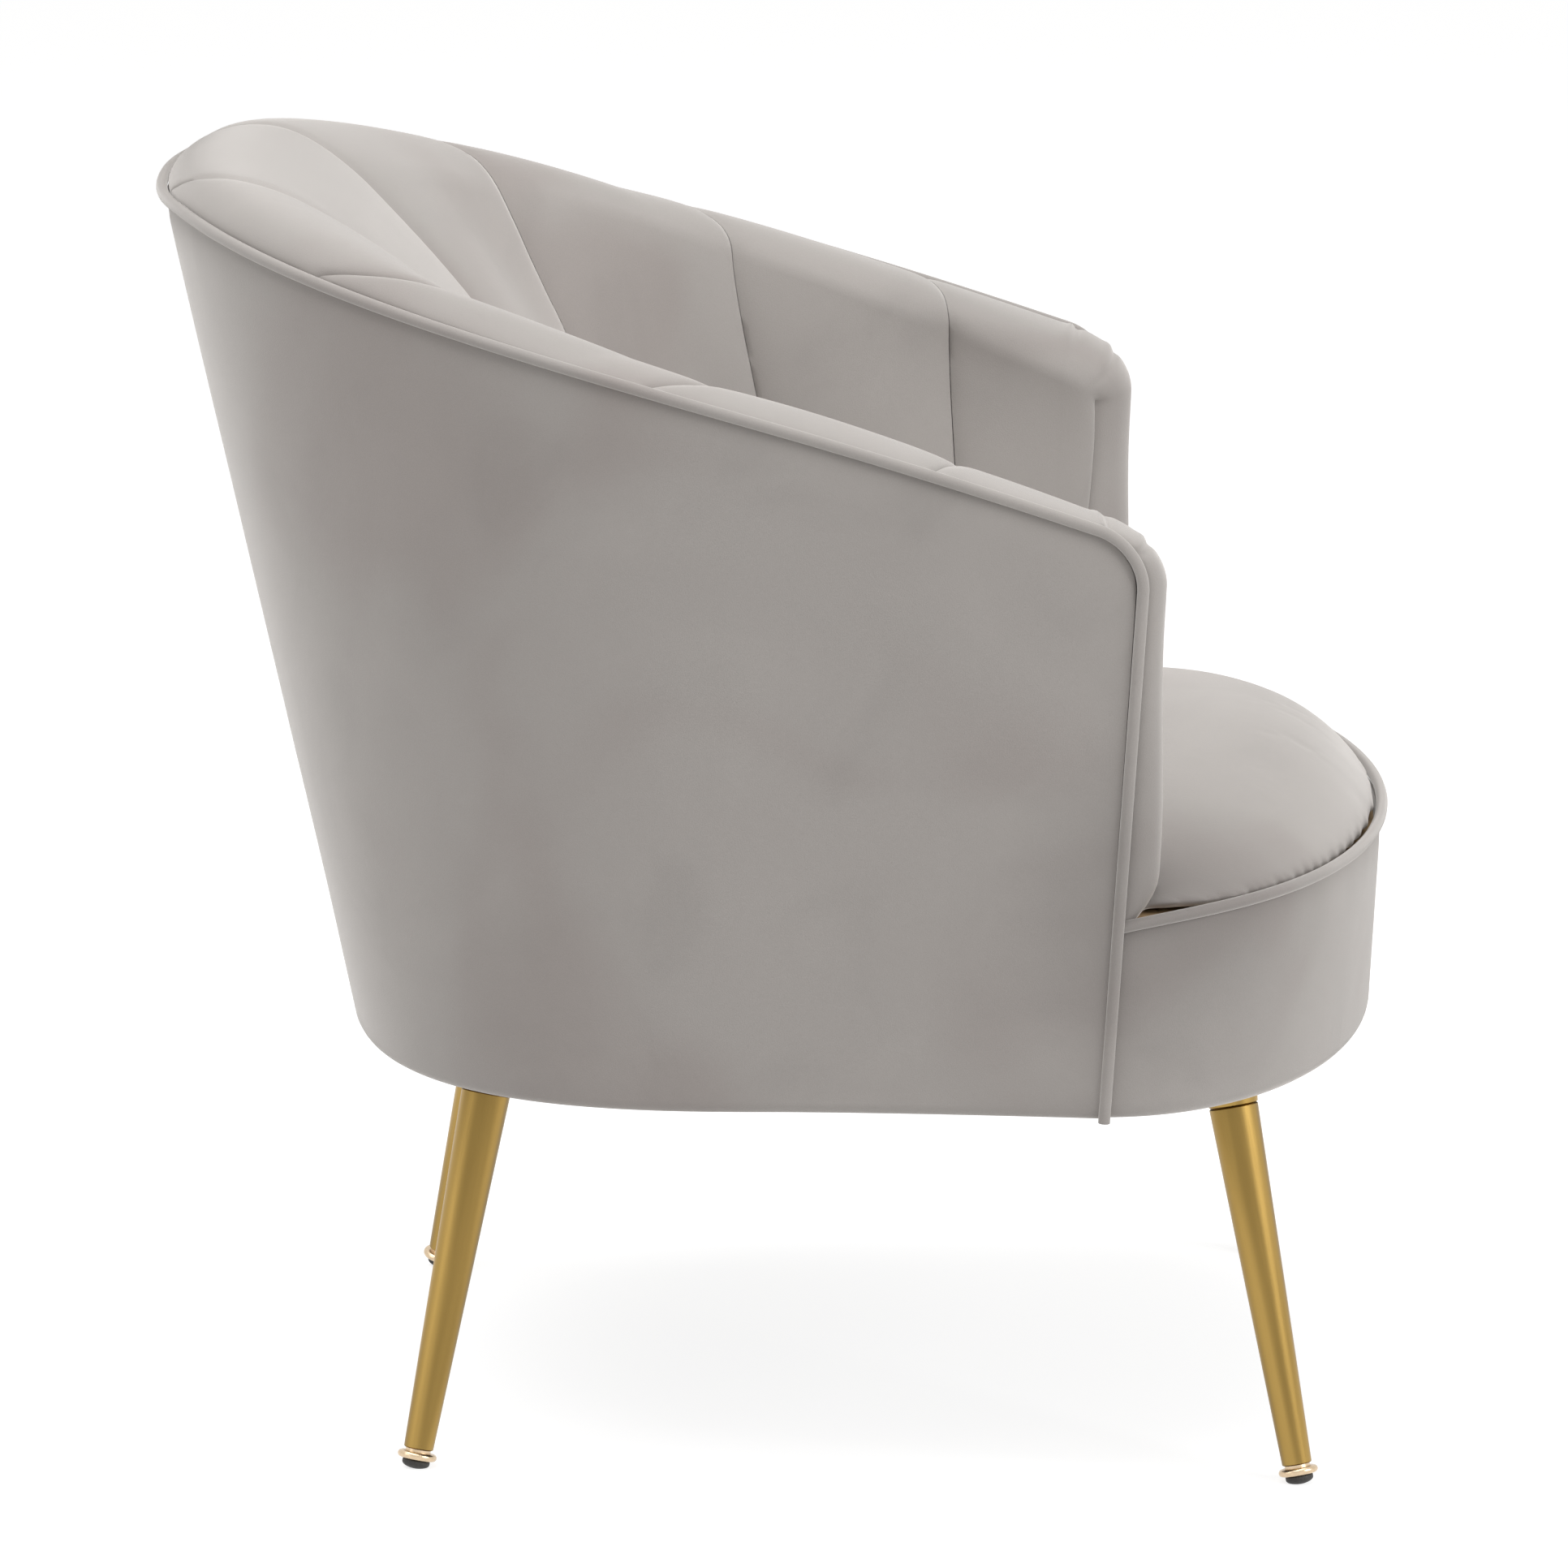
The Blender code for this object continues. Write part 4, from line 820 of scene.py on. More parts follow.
def pleat_relief(turn_deg, row):
    """Two pleats that take up the velvet round the corner of an arm front."""
    look = settings().padding
    fade = min(row / 3, 1.0) * (1 - (row / ROLL_ROWS) ** 2)
    relief = 0.0
    for middle in PLEAT_TURNS_DEG:
        away = (turn_deg - middle) / PLEAT_WIDTH_DEG
        ridge = PLEAT_RIDGE * math.exp(-(away + PLEAT_RIDGE_OFFSET) ** 2)
        relief += look.pleat * (ridge - math.exp(-away ** 2))
    return relief * fade


def arm_front(name, side, finish):
    """The last channel of a side: it ends in a roll that wraps the arm's rounded front."""
    steps = CHANNEL_COLUMNS * 2 // 3 + 1
    rim = np.linspace(RIM_SEAMS[-1] + SEAM_SHARE, CORNER_SHARE, steps)[:-1]
    face = np.linspace(FACE_SEAMS[-1] + SEAM_SHARE, CORNER_SHARE, steps)[:-1]
    turns = corner_turns()
    corner = [turned_share(turn) for turn in turns]
    columns = [pad_column(side * here, side * low) for here, low in zip(rim, face)]
    columns += [pad_column(side * here, side * here, turn) for here, turn in zip(corner, turns)]
    faces = grid_faces(len(columns), CHANNEL_ROWS)
    front, back = map(list, zip(*columns))
    last = (len(columns) - 1) * CHANNEL_ROWS
    before = [last + row for row in range(ROLL_ROWS + 1)]
    count = len(columns) * CHANNEL_ROWS
    for row in range(ROLL_ROWS + 1, CHANNEL_ROWS):
        over, under = front_column(side, columns[-1][0][row], columns[-1][1][row])
        front.append(over)
        back.append(under)
        this = [count + step for step in range(ROLL_ROWS)] + [last + row]
        for step in range(ROLL_ROWS):
            faces.append((before[step], before[step + 1], this[step + 1], this[step]))
        before = this
        count += ROLL_ROWS
    front = np.vstack(front)
    across = np.linspace(-1.0, 1.0, len(columns))
    reliefs = channel_reliefs(front, across, both_seams=False)
    for column, turn in enumerate(turns, len(columns) - len(turns)):
        for row in range(ROLL_ROWS):
            reliefs[column * CHANNEL_ROWS + row] += pleat_relief(math.degrees(turn), row)
    mesh = padded_mesh(name, front, np.vstack(back), faces, reliefs)
    return new_piece(name, mesh, finish, "velvet")


def build_channels():
    finish = velvet()
    seams = list(zip(RIM_SEAMS, FACE_SEAMS))
    pieces = {}
    name = "channel_centre"
    pieces[name] = channel(name + "_velvet", (-RIM_SEAMS[0], -FACE_SEAMS[0]), seams[0], finish)
    for side, word in ((1, "left"), (-1, "right")):
        for index in range(1, len(seams)):
            pair = [(side * rim, side * face) for rim, face in seams[index - 1:index + 1]]
            name = f"channel_{word}_{index}"
            pieces[name] = channel(name + "_velvet", *sorted(pair), finish)
        name = f"channel_{word}_{len(seams)}"
        pieces[name] = arm_front(name + "_velvet", side, finish)
    for node, piece in pieces.items():
        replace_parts(piece, node)


# Covers and piping

def skirt_paths(top, bottom):
    """Outer and inner paths (inset, height) of a cover that turns in under the frame."""
    turn_z = bottom + COVER_TURN_RADIUS
    wall = [(0.0, z) for z in np.linspace(top, turn_z, COVER_ROWS + 1)[:-1]]
    paths = []
    for thickness in (0.0, COVER_THICKNESS):
        path = [(thickness, z) for _, z in wall]
        radius = COVER_TURN_RADIUS - thickness
        for angle in np.linspace(0.0, math.pi / 2, LIP_STEPS):
            inset = COVER_TURN_RADIUS - radius * math.cos(angle)
            path.append((inset, turn_z - radius * math.sin(angle)))
        path.append((COVER_LIP, bottom + thickness))
        paths.append(path)
    return paths


def cover_relief(point, drop):
    """Puckers below the piping and a faint unevenness over the whole cover."""
    look = settings().padding
    near = math.exp(-drop / look.pucker_width)
    x, y, z = point
    puckers = rough(x, y, z * PUCKER_STRETCH, look.pucker_scale) * look.pucker_depth
    broad = rough(x, y, z, WAVES_PER_METRE) * look.cover_waviness
    pinch = look.pinch * math.exp(-drop / look.pinch_width)
    return (puckers * near + broad) * min(drop / look.pinch_width, 1.0) - pinch


def skirt(name, columns, place, finish):
    """A cover that hangs from the given (where, top height) columns."""
    front = []
    back = []
    reliefs = []
    for where, top in columns:
        for sheet, path in zip((front, back), skirt_paths(top, BODY_BOTTOM_Z)):
            for inset, z in path:
                sheet.append(place(where, z, inset))
                if sheet is front:
                    drop = top - z
                    relief = cover_relief(sheet[-1], drop) if inset == 0.0 else 0.0
                    reliefs.append(relief)
    rows = len(front) // len(columns)
    faces = grid_faces(len(columns), rows)
    mesh = padded_mesh(name, np.array(front), np.array(back), faces, reliefs)
    return new_piece(name, mesh, finish, "velvet")


def build_covers():
    finish = velvet()

    def on_tub(share, z, inset):
        return outer(share, z) + inward_at(share, z) * inset

    columns = rim_columns(PIPING_CLEARANCE, COVER_COLUMNS // 2)
    back_cover = skirt("outer_back_velvet", columns, on_tub, finish)
    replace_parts(back_cover, "outer_back_cover")
    tops = [seat_piping_z(sweep) - PIPING_RADIUS - SKIN_GAP / 2 for sweep in border_sweeps()]
    front_band = skirt("seat_band_velvet", list(zip(border_sweeps(), tops)), border, finish)
    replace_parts(front_band, "seat_border")


def build_piping():
    finish = velvet()
    columns = rim_columns(0.0, COVER_COLUMNS)
    downs = np.linspace(columns[-1][1], BODY_BOTTOM_Z - PIPING_TAIL, COVER_ROWS)[1:]
    path = [outer(-1.0, z) for z in reversed(downs)]
    path += [outer(share, z) for share, z in columns]
    path += [outer(1.0, z) for z in downs]
    cord = cord_curve("rim_piping", path, CORD_RADIUS)
    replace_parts(new_piece("rim_piping_velvet", cord, finish, "velvet"), "outer_piping")
    sweeps = border_sweeps(math.radians(SEAT_PIPING_SWEEP_DEG))
    path = [border(sweep, seat_piping_z(sweep)) for sweep in sweeps]
    cord = cord_curve("seat_cord", path, CORD_RADIUS)
    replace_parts(new_piece("seat_piping_velvet", cord, finish, "velvet"), "seat_piping")


# Seat cushion

@functools.cache
def arm_face():
    """The left arm front's surface from the deck up: a height, then its row's x and y."""
    front, back = pad_section(1.0, math.pi / 2)
    rows = []
    for row in range(ROLL_ROWS + 1, len(front)):
        if front[row][2] < CUSHION_TOP_Z:
            over = front_column(1.0, front[row], back[row])[0]
            rows.append((front[row][2], over[:, 0], over[:, 1]))
    return sorted(rows, key=lambda row: row[0])


def ear_y(x, z):
    """Where the cushion's ears meet an arm front."""
    heights = [height for height, _, _ in arm_face()]
    places = [np.interp(-abs(x), -across, ahead) for _, across, ahead in arm_face()]
    return np.interp(z, heights, places) + CUSHION_PRESS


def cushion_outline():
    """The bowed front edge, and the wall that runs behind the ears and round the tub."""
    inset = settings().padding.crown * SEAT_CROWN_SHARE + SKIN_GAP
    tub = []
    for share, _ in rim_columns(0.0, BOW_COLUMNS):
        tub.append(SEAT_LINE.point(share, DECK_Z) + inward_at(share, DECK_Z) * inset)
    sweep = math.pi / 2
    end = border(sweep, DECK_Z, CUSHION_INSET)
    while end[1] > ear_y(end[0], DECK_Z):
        sweep -= SHARE_STEP
        end = border(sweep, DECK_Z, CUSHION_INSET)
    bow = [border(part, DECK_Z, CUSHION_INSET) for part in border_sweeps(sweep, BOW_COLUMNS)]
    ear = []
    for x in np.linspace(end[0], tub[-1][0], EAR_STEPS + 1):
        ear.append(np.array((x, ear_y(x, CUSHION_WALL_Z), DECK_Z)))
    right = [point * (-1.0, 1.0, 1.0) for point in reversed(ear)]
    return bow, [bow[-1]] + ear + tub[::-1] + right + [bow[0]]


def distances_to(places, line):
    """Shortest level distance from each place to a line of points."""
    starts = np.array(line)[:-1, :2]
    steps = np.array(line)[1:, :2] - starts
    lengths = np.maximum((steps ** 2).sum(1), 1e-12)
    nearest = []
    for here in np.array(places)[:, :2]:
        part = np.clip(((here - starts) * steps).sum(1) / lengths, 0.0, 1.0)
        gaps = starts + steps * part[:, None] - here
        nearest.append((gaps ** 2).sum(1).min())
    return np.sqrt(nearest)


def cushion_heights(places, bow, wall):
    """Crown of the cushion: it rises from the piping in front and from the tub behind."""
    places = np.array(places)
    half_width = outer(1.0, DECK_Z)[0] - BORDER_STEP
    sweeps = np.arcsin(np.minimum(np.abs(places[:, 0]) / half_width, 1.0))
    edge = seat_piping_z(sweeps) + PIPING_RADIUS
    top = CUSHION_TOP_Z - CUSHION_SIDE_FALL * places[:, 0] ** 2
    heights = []
    for low, line, shoulder in (
        (edge, bow, CUSHION_SHOULDER),
        (CUSHION_WALL_Z, wall, CUSHION_WALL_SHOULDER),
    ):
        part = np.minimum(distances_to(places, line) / shoulder, 1.0)
        rise = 1 - (1 - part) ** CUSHION_PROFILE_POWER
        heights.append(low + (top - low) * rise)
    return np.minimum(*heights)


def cushion_mesh(name, bow, wall):
    """Crowned top, drawn-in sides and flat underside; the ears' ends follow the arm fronts."""
    outline = np.array(bow + wall[1:-1])
    centre = np.array((0.0, CUSHION_CENTRE_Y, DECK_Z))
    low = DECK_Z + WEBBING_THICKNESS + 2 * FIT_GAP
    behind = range(len(bow) + EAR_STEPS + 1, len(outline) - EAR_STEPS - 1)
    edges = cushion_heights(outline, bow, wall)
    bm = bmesh.new()
    rings = []
    for part in np.linspace(0.0, 1.0, CUSHION_WALL_RINGS):
        ring = []
        for i, (corner, edge) in enumerate(zip(outline, edges)):
            neck = max(low + 2 * FIT_GAP, edge - PIPING_RADIUS)
            if i >= len(bow) and i not in behind:
                z = DECK_Z + FIT_GAP + (neck - DECK_Z - FIT_GAP) * part
                ring.append((corner[0], ear_y(corner[0], z), z))
                continue
            inward = centre - corner
            inward[0] = 0.0 if i in behind else inward[0]
            tucked = corner + inward / np.linalg.norm(inward) * CUSHION_TUCK
            ring.append((tucked[0], tucked[1], low + (neck - low) * part))
        rings.append(add_loop(bm, ring))
    for part in np.linspace(0.0, 1.0, CUSHION_RINGS)[:-1] ** CUSHION_RING_POWER:
        ring = outline + (centre - outline) * part
        ring[:, 2] = cushion_heights(ring, bow, wall)
        rings.append(add_loop(bm, ring))
    bridge_all(bm, rings)
    bm.faces.new(rings[0])
    centre[2] = cushion_heights([centre], bow, wall)[0]
    peak = bm.verts.new(centre)
    last = rings[-1]
    for i, vertex in enumerate(last):
        bm.faces.new((vertex, last[(i + 1) % len(last)], peak))
    return finished_mesh(name, bm)


def baked(item):
    """Turn a piece with its modifiers into a plain mesh."""
    graph = bpy.context.evaluated_depsgraph_get()
    mesh = bpy.data.meshes.new_from_object(item.evaluated_get(graph))
    item.modifiers.clear()
    item.data = mesh
    return mesh


def places_of(mesh):
    places = np.empty(len(mesh.vertices) * 3)
    mesh.vertices.foreach_get("co", places)
    return places.reshape(-1, 3)


def fill(item, held):
    """Fill a sewn piece by a short cloth simulation; held says which points stay sewn down."""
    remesh = item.modifiers.new("remesh", "REMESH")
    remesh.mode = "VOXEL"
    remesh.voxel_size = FILL_VOXEL
    start = places_of(baked(item))
    sewn = item.vertex_groups.new(name="sewn")
    sewn.add(np.flatnonzero(held(start)).tolist(), 1.0, "REPLACE")
    cloth = item.modifiers.new("filling", "CLOTH")
    cloth.settings.use_pressure = True
    cloth.settings.uniform_pressure_force = FILL_PRESSURE
    cloth.settings.vertex_group_mass = sewn.name
    cloth.settings.effector_weights.gravity = 0.0
    cloth.point_cache.frame_end = FILL_FRAMES
    for step in range(1, FILL_FRAMES + 1):
        bpy.context.scene.frame_set(step)
    mesh = baked(item)
    item.vertex_groups.clear()
    moves = places_of(mesh) - start
    far = np.maximum(np.linalg.norm(moves, axis=1), 1e-9)
    places = start + moves * np.minimum(1.0, FILL_CAP / far)[:, None]
    mesh.vertices.foreach_set("co", places.ravel())
    bpy.context.scene.frame_set(1)


def cushion_reliefs(places, bow, wall):
    """Puckers above the seat piping, wrinkles beside the arm fronts and broad soft dents."""
    look = settings().padding
    from_bow = distances_to(places, bow)
    from_wall = distances_to(places, wall)
    depths = places[:, 2] - cushion_heights(places, bow, wall)
    over = np.array([ease(-RELIEF_DEPTH, 0.0, depth) for depth in depths])
    reliefs = []
    for (x, y, z), bow_gap, wall_gap in zip(places, from_bow, from_wall):
        puckers = rough(x, y, 0.0, look.pucker_scale) * look.pucker_depth
        stretched = (x * WRINKLE_STRETCH[0], y * WRINKLE_STRETCH[1], z)
        folds = rough(*stretched, look.wrinkle_scale) * look.wrinkle_depth
        relief = puckers * math.exp(-bow_gap / look.pucker_width)
        relief += folds * math.exp(-wall_gap / look.wrinkle_width)
        reliefs.append(relief + rough(x, y, z, DENTS_PER_METRE) * look.dent_depth)
    return np.array(reliefs) * over


def build_cushion():
    bow, wall = cushion_outline()
    mesh = cushion_mesh("seat_top", bow, wall)
    cushion = new_piece("seat_cushion_velvet", mesh, velvet(), "velvet")

    def held(places):
        under = places[:, 2] < cushion_heights(places, bow, wall) - SEWN_DEPTH
        from_edge = np.minimum(distances_to(places, bow), distances_to(places, wall))
        return under | (from_edge < SEWN_REACH)

    fill(cushion, held)
    mesh = cushion.data
    places = places_of(mesh)
    normals = np.empty(places.size)
    mesh.vertex_normals.foreach_get("vector", normals)
    places += normals.reshape(-1, 3) * cushion_reliefs(places, bow, wall)[:, None]
    mesh.vertices.foreach_set("co", places.ravel())
    cushion.modifiers.new("smooth", "SUBSURF").levels = 1
    baked(cushion).shade_smooth()
    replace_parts(cushion, "seat_cushion")


# Legs and feet

def leg_feet():
    """The four feet: name, then where each leg's axis starts and which way it climbs."""
    feet = []
    for end, (x, y), splay in (
        ("front", FOOT_FRONT, LEG_SPLAY_FRONT_DEG),
        ("rear", FOOT_REAR, -LEG_SPLAY_REAR_DEG),
    ):
        for side, word in ((1, "left"), (-1, "right")):
            start = Vector((side * x, y, -PAD_FLAT_DEPTH))
            across = -side * math.tan(math.radians(LEG_SPREAD_DEG))
            climb = Vector((across, math.tan(math.radians(splay)), 1.0)).normalized()
            feet.append((f"{end}_{word}", (start, climb)))
    return feet


def on_axis(foot, z, further=0.0):
    """Point of a leg's axis at a height, or some way further up the axis."""
    start, climb = foot
    return start + climb * ((z - start.z) / climb.z + further)


def stand(item, foot):
    """Place a turned piece on its leg's axis."""
    start, climb = foot
    item.location = start
    item.rotation_mode = "QUATERNION"
    item.rotation_quaternion = Z_AXIS.rotation_difference(climb)


FOOT_BODIES = {"foot_collar": "adjuster_", "foot_pad": "foot_"}
COLLAR_BOTTOM = PAD_HEIGHT + FIT_GAP
COLLAR_TOP = COLLAR_BOTTOM + FLANGE_HEIGHT + HUB_HEIGHT


def leg_mesh(name, foot):
    """Tapered tube with softened ends and a bore for the adjuster."""
    start, climb = foot
    low = COLLAR_TOP + FIT_GAP
    high = (LEG_TOP_Z - start.z) / climb.z
    bore = THREAD_RADIUS + FIT_GAP
    edge = LEG_WALL / 3
    profile = [(bore, low), (LEG_BOTTOM_RADIUS - edge, low), (LEG_BOTTOM_RADIUS, low + edge)]
    for part in np.linspace(0.0, 1.0, LEG_RINGS)[1:-1]:
        radius = LEG_BOTTOM_RADIUS + (LEG_TOP_RADIUS - LEG_BOTTOM_RADIUS) * part
        profile.append((radius, low + (high - low) * part))
    profile += [(LEG_TOP_RADIUS, high - edge), (LEG_TOP_RADIUS - edge, high), (bore, high)]
    return turned_mesh(name, profile, closed=True)


def plate_mesh(name, foot):
    """Angled boss between leg and dust cover, flared a little and bored for its stud."""
    high = BODY_BOTTOM_Z - DUST_COVER_THICKNESS - 2 * FIT_GAP
    face = on_axis(foot, LEG_TOP_Z, FIT_GAP)
    top = on_axis(foot, high)
    tilt = Z_AXIS.rotation_difference(foot[1]).to_matrix()
    bore = THREAD_RADIUS + FIT_GAP
    bm = bmesh.new()
    rings = []
    for radius, part in (
        (bore, 0.0),
        (PLATE_FACE_RADIUS - PLATE_BEVEL, 0.0),
        (PLATE_FACE_RADIUS, PLATE_FLARE[0]),
        (PLATE_RADIUS, PLATE_FLARE[1]),
        (PLATE_RADIUS, 1.0),
        (bore, 1.0),
    ):
        ring = []
        for step in range(TURN_SEGMENTS):
            angle = 2 * math.pi * step / TURN_SEGMENTS
            spoke = Vector((math.cos(angle), math.sin(angle), 0.0)) * radius
            ring.append((face + tilt @ spoke).lerp(top + spoke, part))
        rings.append(add_loop(bm, ring))
    bridge_all(bm, rings + rings[:1])
    return finished_mesh(name, bm, TURNED_SHARP_DEG)


def build_legs():
    look = settings().metal
    finish = brushed_metal("brushed_brass", tuple(look.brass), look.brass_roughness, look.brushing)
    for word, foot in leg_feet():
        name = f"leg_{word}"
        leg = new_piece(name + "_tube", leg_mesh(name, foot), finish, "brushed_brass")
        stand(leg, foot)
        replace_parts(leg, name)
    zinc = plated_metal("zinc_steel", tuple(look.zinc), look.stud_roughness)
    give_finish([f"leg_stud_{word}" for word, _ in leg_feet()], zinc)
    for word, foot in leg_feet():
        name = f"leg_plate_{word}"
        plate = new_piece(name + "_pressed", plate_mesh(name, foot), finish, "brushed_brass")
        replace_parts(plate, name)


def collar_mesh(name):
    """Flanged adjuster: a lens-edged flange, a hub and a threaded stem."""
    low = COLLAR_BOTTOM
    bulge = FLANGE_HEIGHT / 2
    neck = FLANGE_RADIUS - bulge
    profile = [(0.0, low)]
    for angle in np.linspace(-math.pi / 2, math.pi / 2, BULGE_STEPS):
        profile.append((neck + bulge * math.cos(angle), low + bulge + bulge * math.sin(angle)))
    profile += [(HUB_RADIUS, low + FLANGE_HEIGHT), (HUB_RADIUS, COLLAR_TOP)]
    tip = COLLAR_TOP + STEM_LENGTH
    z = COLLAR_TOP
    while z < tip - THREAD_PITCH:
        root = (THREAD_RADIUS * THREAD_ROOT_SHARE, z + THREAD_PITCH / 2)
        profile += [(THREAD_RADIUS, z), root]
        z += THREAD_PITCH
    profile += [(THREAD_RADIUS * 3 / 4, tip), (0.0, tip)]
    return turned_mesh(name, profile)


def glide_mesh(name, foot):
    """Domed glide, worn flat where it meets the floor."""
    profile = []
    for angle in np.linspace(0.0, math.pi / 2, DOME_STEPS):
        height = PAD_DOME_HEIGHT * (1 - math.cos(angle))
        profile.append((PAD_RADIUS * math.sin(angle), height))
    edge = PAD_HEIGHT - PAD_FLAT_DEPTH
    profile += [(PAD_RADIUS, edge), (PAD_RADIUS - PAD_FLAT_DEPTH, PAD_HEIGHT), (0.0, PAD_HEIGHT)]
    mesh = turned_mesh(name, profile)
    start, climb = foot
    upright = climb.rotation_difference(Z_AXIS)
    bm = bmesh.new()
    bm.from_mesh(mesh)
    everything = bm.verts[:] + bm.edges[:] + bm.faces[:]
    plane = {"plane_co": upright @ -start, "plane_no": upright @ Z_AXIS}
    cut = bmesh.ops.bisect_plane(bm, geom=everything, clear_inner=True, **plane)["geom_cut"]
    edges = [piece for piece in cut if isinstance(piece, bmesh.types.BMEdge)]
    bmesh.ops.contextual_create(bm, geom=edges)
    return finished_mesh(name, bm, TURNED_SHARP_DEG)


def build_feet():
    look = settings().metal
    pale = plated_metal("pale_brass", tuple(look.champagne), look.champagne_roughness)
    rubber = moulded("black_rubber", tuple(look.glide), 0.6, 900.0)
    for word, foot in leg_feet():
        for kind, mesh, finish, slot in (
            ("foot_collar", collar_mesh(f"collar_{word}"), pale, "pale_brass"),
            ("foot_pad", glide_mesh(f"glide_{word}", foot), rubber, "black_rubber"),
        ):
            name = f"{kind}_{word}"
            piece = new_piece(name + "_turned", mesh, finish, slot, FOOT_BODIES[kind] + word)
            stand(piece, foot)
            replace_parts(piece, name)


def dust_mesh(name):
    """Underside cloth, stapled round its edge and sagging a little between; with its cut."""
    outline = []
    for share, _ in reversed(rim_columns(0.0, COVER_COLUMNS // 2)):
        point = outer(share, BODY_BOTTOM_Z)
        outline.append(point + inward_at(share, BODY_BOTTOM_Z) * DUST_COVER_INSET)
    for sweep in border_sweeps():
        outline.append(border(sweep, BODY_BOTTOM_Z, DUST_COVER_INSET))
    outline = np.array(outline)
    centre = np.array((0.0, (outline[:, 1].min() + outline[:, 1].max()) / 2, 0.0))
    bosses = [on_axis(foot, BODY_BOTTOM_Z) for _, foot in leg_feet()]
    top = BODY_BOTTOM_Z - FIT_GAP
    bm = bmesh.new()
    sheets = []
    for z in (top, top - DUST_COVER_THICKNESS):
        rings = []
        for part in np.linspace(0.0, 1.0, DUST_RINGS)[:-1]:
            ring = []
            for corner in outline:
                place = corner + (centre - corner) * part
                from_boss = min(math.dist(place[:2], boss[:2]) for boss in bosses)
                from_edge = np.linalg.norm((place - corner)[:2])
                free = ease(PLATE_RADIUS * DUST_BOSS_HOLD, DUST_BOSS_REACH, from_boss)
                free *= ease(0.0, DUST_EDGE_REACH, from_edge)
                bumps = rough(place[0], place[1], 0.0, DUST_RIPPLES_PER_METRE)
                place[2] = z - settings().padding.dust_sag * free * (1 + DUST_RIPPLE * bumps)
                ring.append(place)
            rings.append(add_loop(bm, ring))
        bridge_all(bm, rings)
        bm.faces.new(rings[-1])
        sheets.append(rings)
    bridge(bm, sheets[0][0], sheets[1][0])
    x, y = outline[:, 0], outline[:, 1]
    area = abs(np.dot(x, np.roll(y, -1)) - np.dot(y, np.roll(x, -1))) / 2
    return finished_mesh(name, bm), (np.ptp(x), np.ptp(y)), area


PLYWOOD = (0.58, 0.40, 0.22)
FIBREBOARD = (0.33, 0.22, 0.13)
WEBBING = (0.10, 0.10, 0.11)
DUST_CLOTH = (0.02, 0.02, 0.02)


def build_inside():
    """Finishes of the wood, the board and the webbing, and the cloth under them."""
    ply = ["base_ring", "seat_ring", "top_rail", "rib_centre", "spacer_rear"]
    for word in ("left", "right"):
        ply += [f"rib_{word}_1", f"rib_{word}_2", f"arm_post_{word}", f"spacer_{word}"]
    ply += [f"leg_block_{word}" for word, _ in leg_feet()]
    give_finish(ply, wood("plywood", PLYWOOD, 18.0))
    give_finish(["lining_board"], wood("fibreboard", FIBREBOARD, 60.0))
    straps = [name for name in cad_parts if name.startswith("seat_webbing")]
    give_finish(straps, woven("webbing", WEBBING, 300.0))
    black = moulded("dust_cloth", DUST_CLOTH, 0.95, 700.0)
    mesh, flat, area = dust_mesh("dust_sheet")
    cloth = new_piece("dust_cover_cloth", mesh, black, "dust_cloth")
    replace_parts(cloth, "dust_cover")


# Stage

CAMERA_DISTANCE = 7.0
CAMERA_PITCH_DEG = 11.666
CAMERA_TARGET = Vector((0.0, -0.0052, 0.3745))
CAMERA_LENS = 256.1
SENSOR_WIDTH = 36.0
VIEW_DEPTH = 100.0
FLOOR_HALF_WIDTH = 15.0
FLOOR_GRAIN_DEPTH = 0.0001
SOFTBOXES = (
    ("overhead_softbox", "overhead", (-0.4, 0.5, 3.4), (3.5, 3.5)),
    ("back_softbox", "from_back", (-1.6, 3.4, 1.9), (2.0, 2.6)),
    ("front_softbox", "from_front", (-2.2, -3.4, 1.8), (2.2, 2.2)),
)


def stage_object(name, data, location=(0.0, 0.0, 0.0)):
    item = bpy.data.objects.new(name, data)
    bpy.context.scene.collection.objects.link(item)
    item.location = location
    return item


def aim(item, target):
    item.rotation_mode = "QUATERNION"
    item.rotation_quaternion = (target - item.location).to_track_quat("-Z", "Y")


def seen_as_white(tree, output, lit, paper):
    """Show the camera and mirrors the paper, and leave the light as it is."""
    rays = tree.add("LightPath").outputs
    seen = tree.pick("MAXIMUM", rays["Is Camera Ray"], rays["Is Glossy Ray"])
    seen = tree.pick("MAXIMUM", seen, rays["Is Transmission Ray"])
    blend = tree.add("MixShader", {0: seen, 1: lit, 2: paper})
    tree.give(output.inputs["Surface"], blend.outputs[0])


def floor_material():
    look = settings().stage
    tree = Finish("pale_floor")
    grain = tree.cloud(tree.place(), scale=40.0, detail=2.0)
    tree.set(Base_Color=(*look.floor_colour, 1.0), Roughness=0.9)
    tree.set(Normal=tree.bump(grain, FLOOR_GRAIN_DEPTH))
    glow = tree.add("Emission", {"Strength": look.floor_white}).outputs[0]
    soft = tree.add("BsdfDiffuse", {"Color": (*grey(look.shadow_share), 1.0)}).outputs[0]
    paper = tree.add("AddShader", {0: glow, 1: soft}).outputs[0]
    seen_as_white(tree, tree.output, tree.shader.outputs[0], paper)
    return tree.material


def build_world():
    look = settings().stage
    world = bpy.data.worlds.new("studio")
    bpy.context.scene.world = world
    tree = Tree(world)
    sky = {"Color": (*look.sky_colour, 1.0), "Strength": look.sky}
    soft = tree.add("Background", sky).outputs[0]
    white = tree.add("Background", {"Color": (*grey(1.0), 1.0)}).outputs[0]
    seen_as_white(tree, tree.add("OutputWorld"), soft, white)


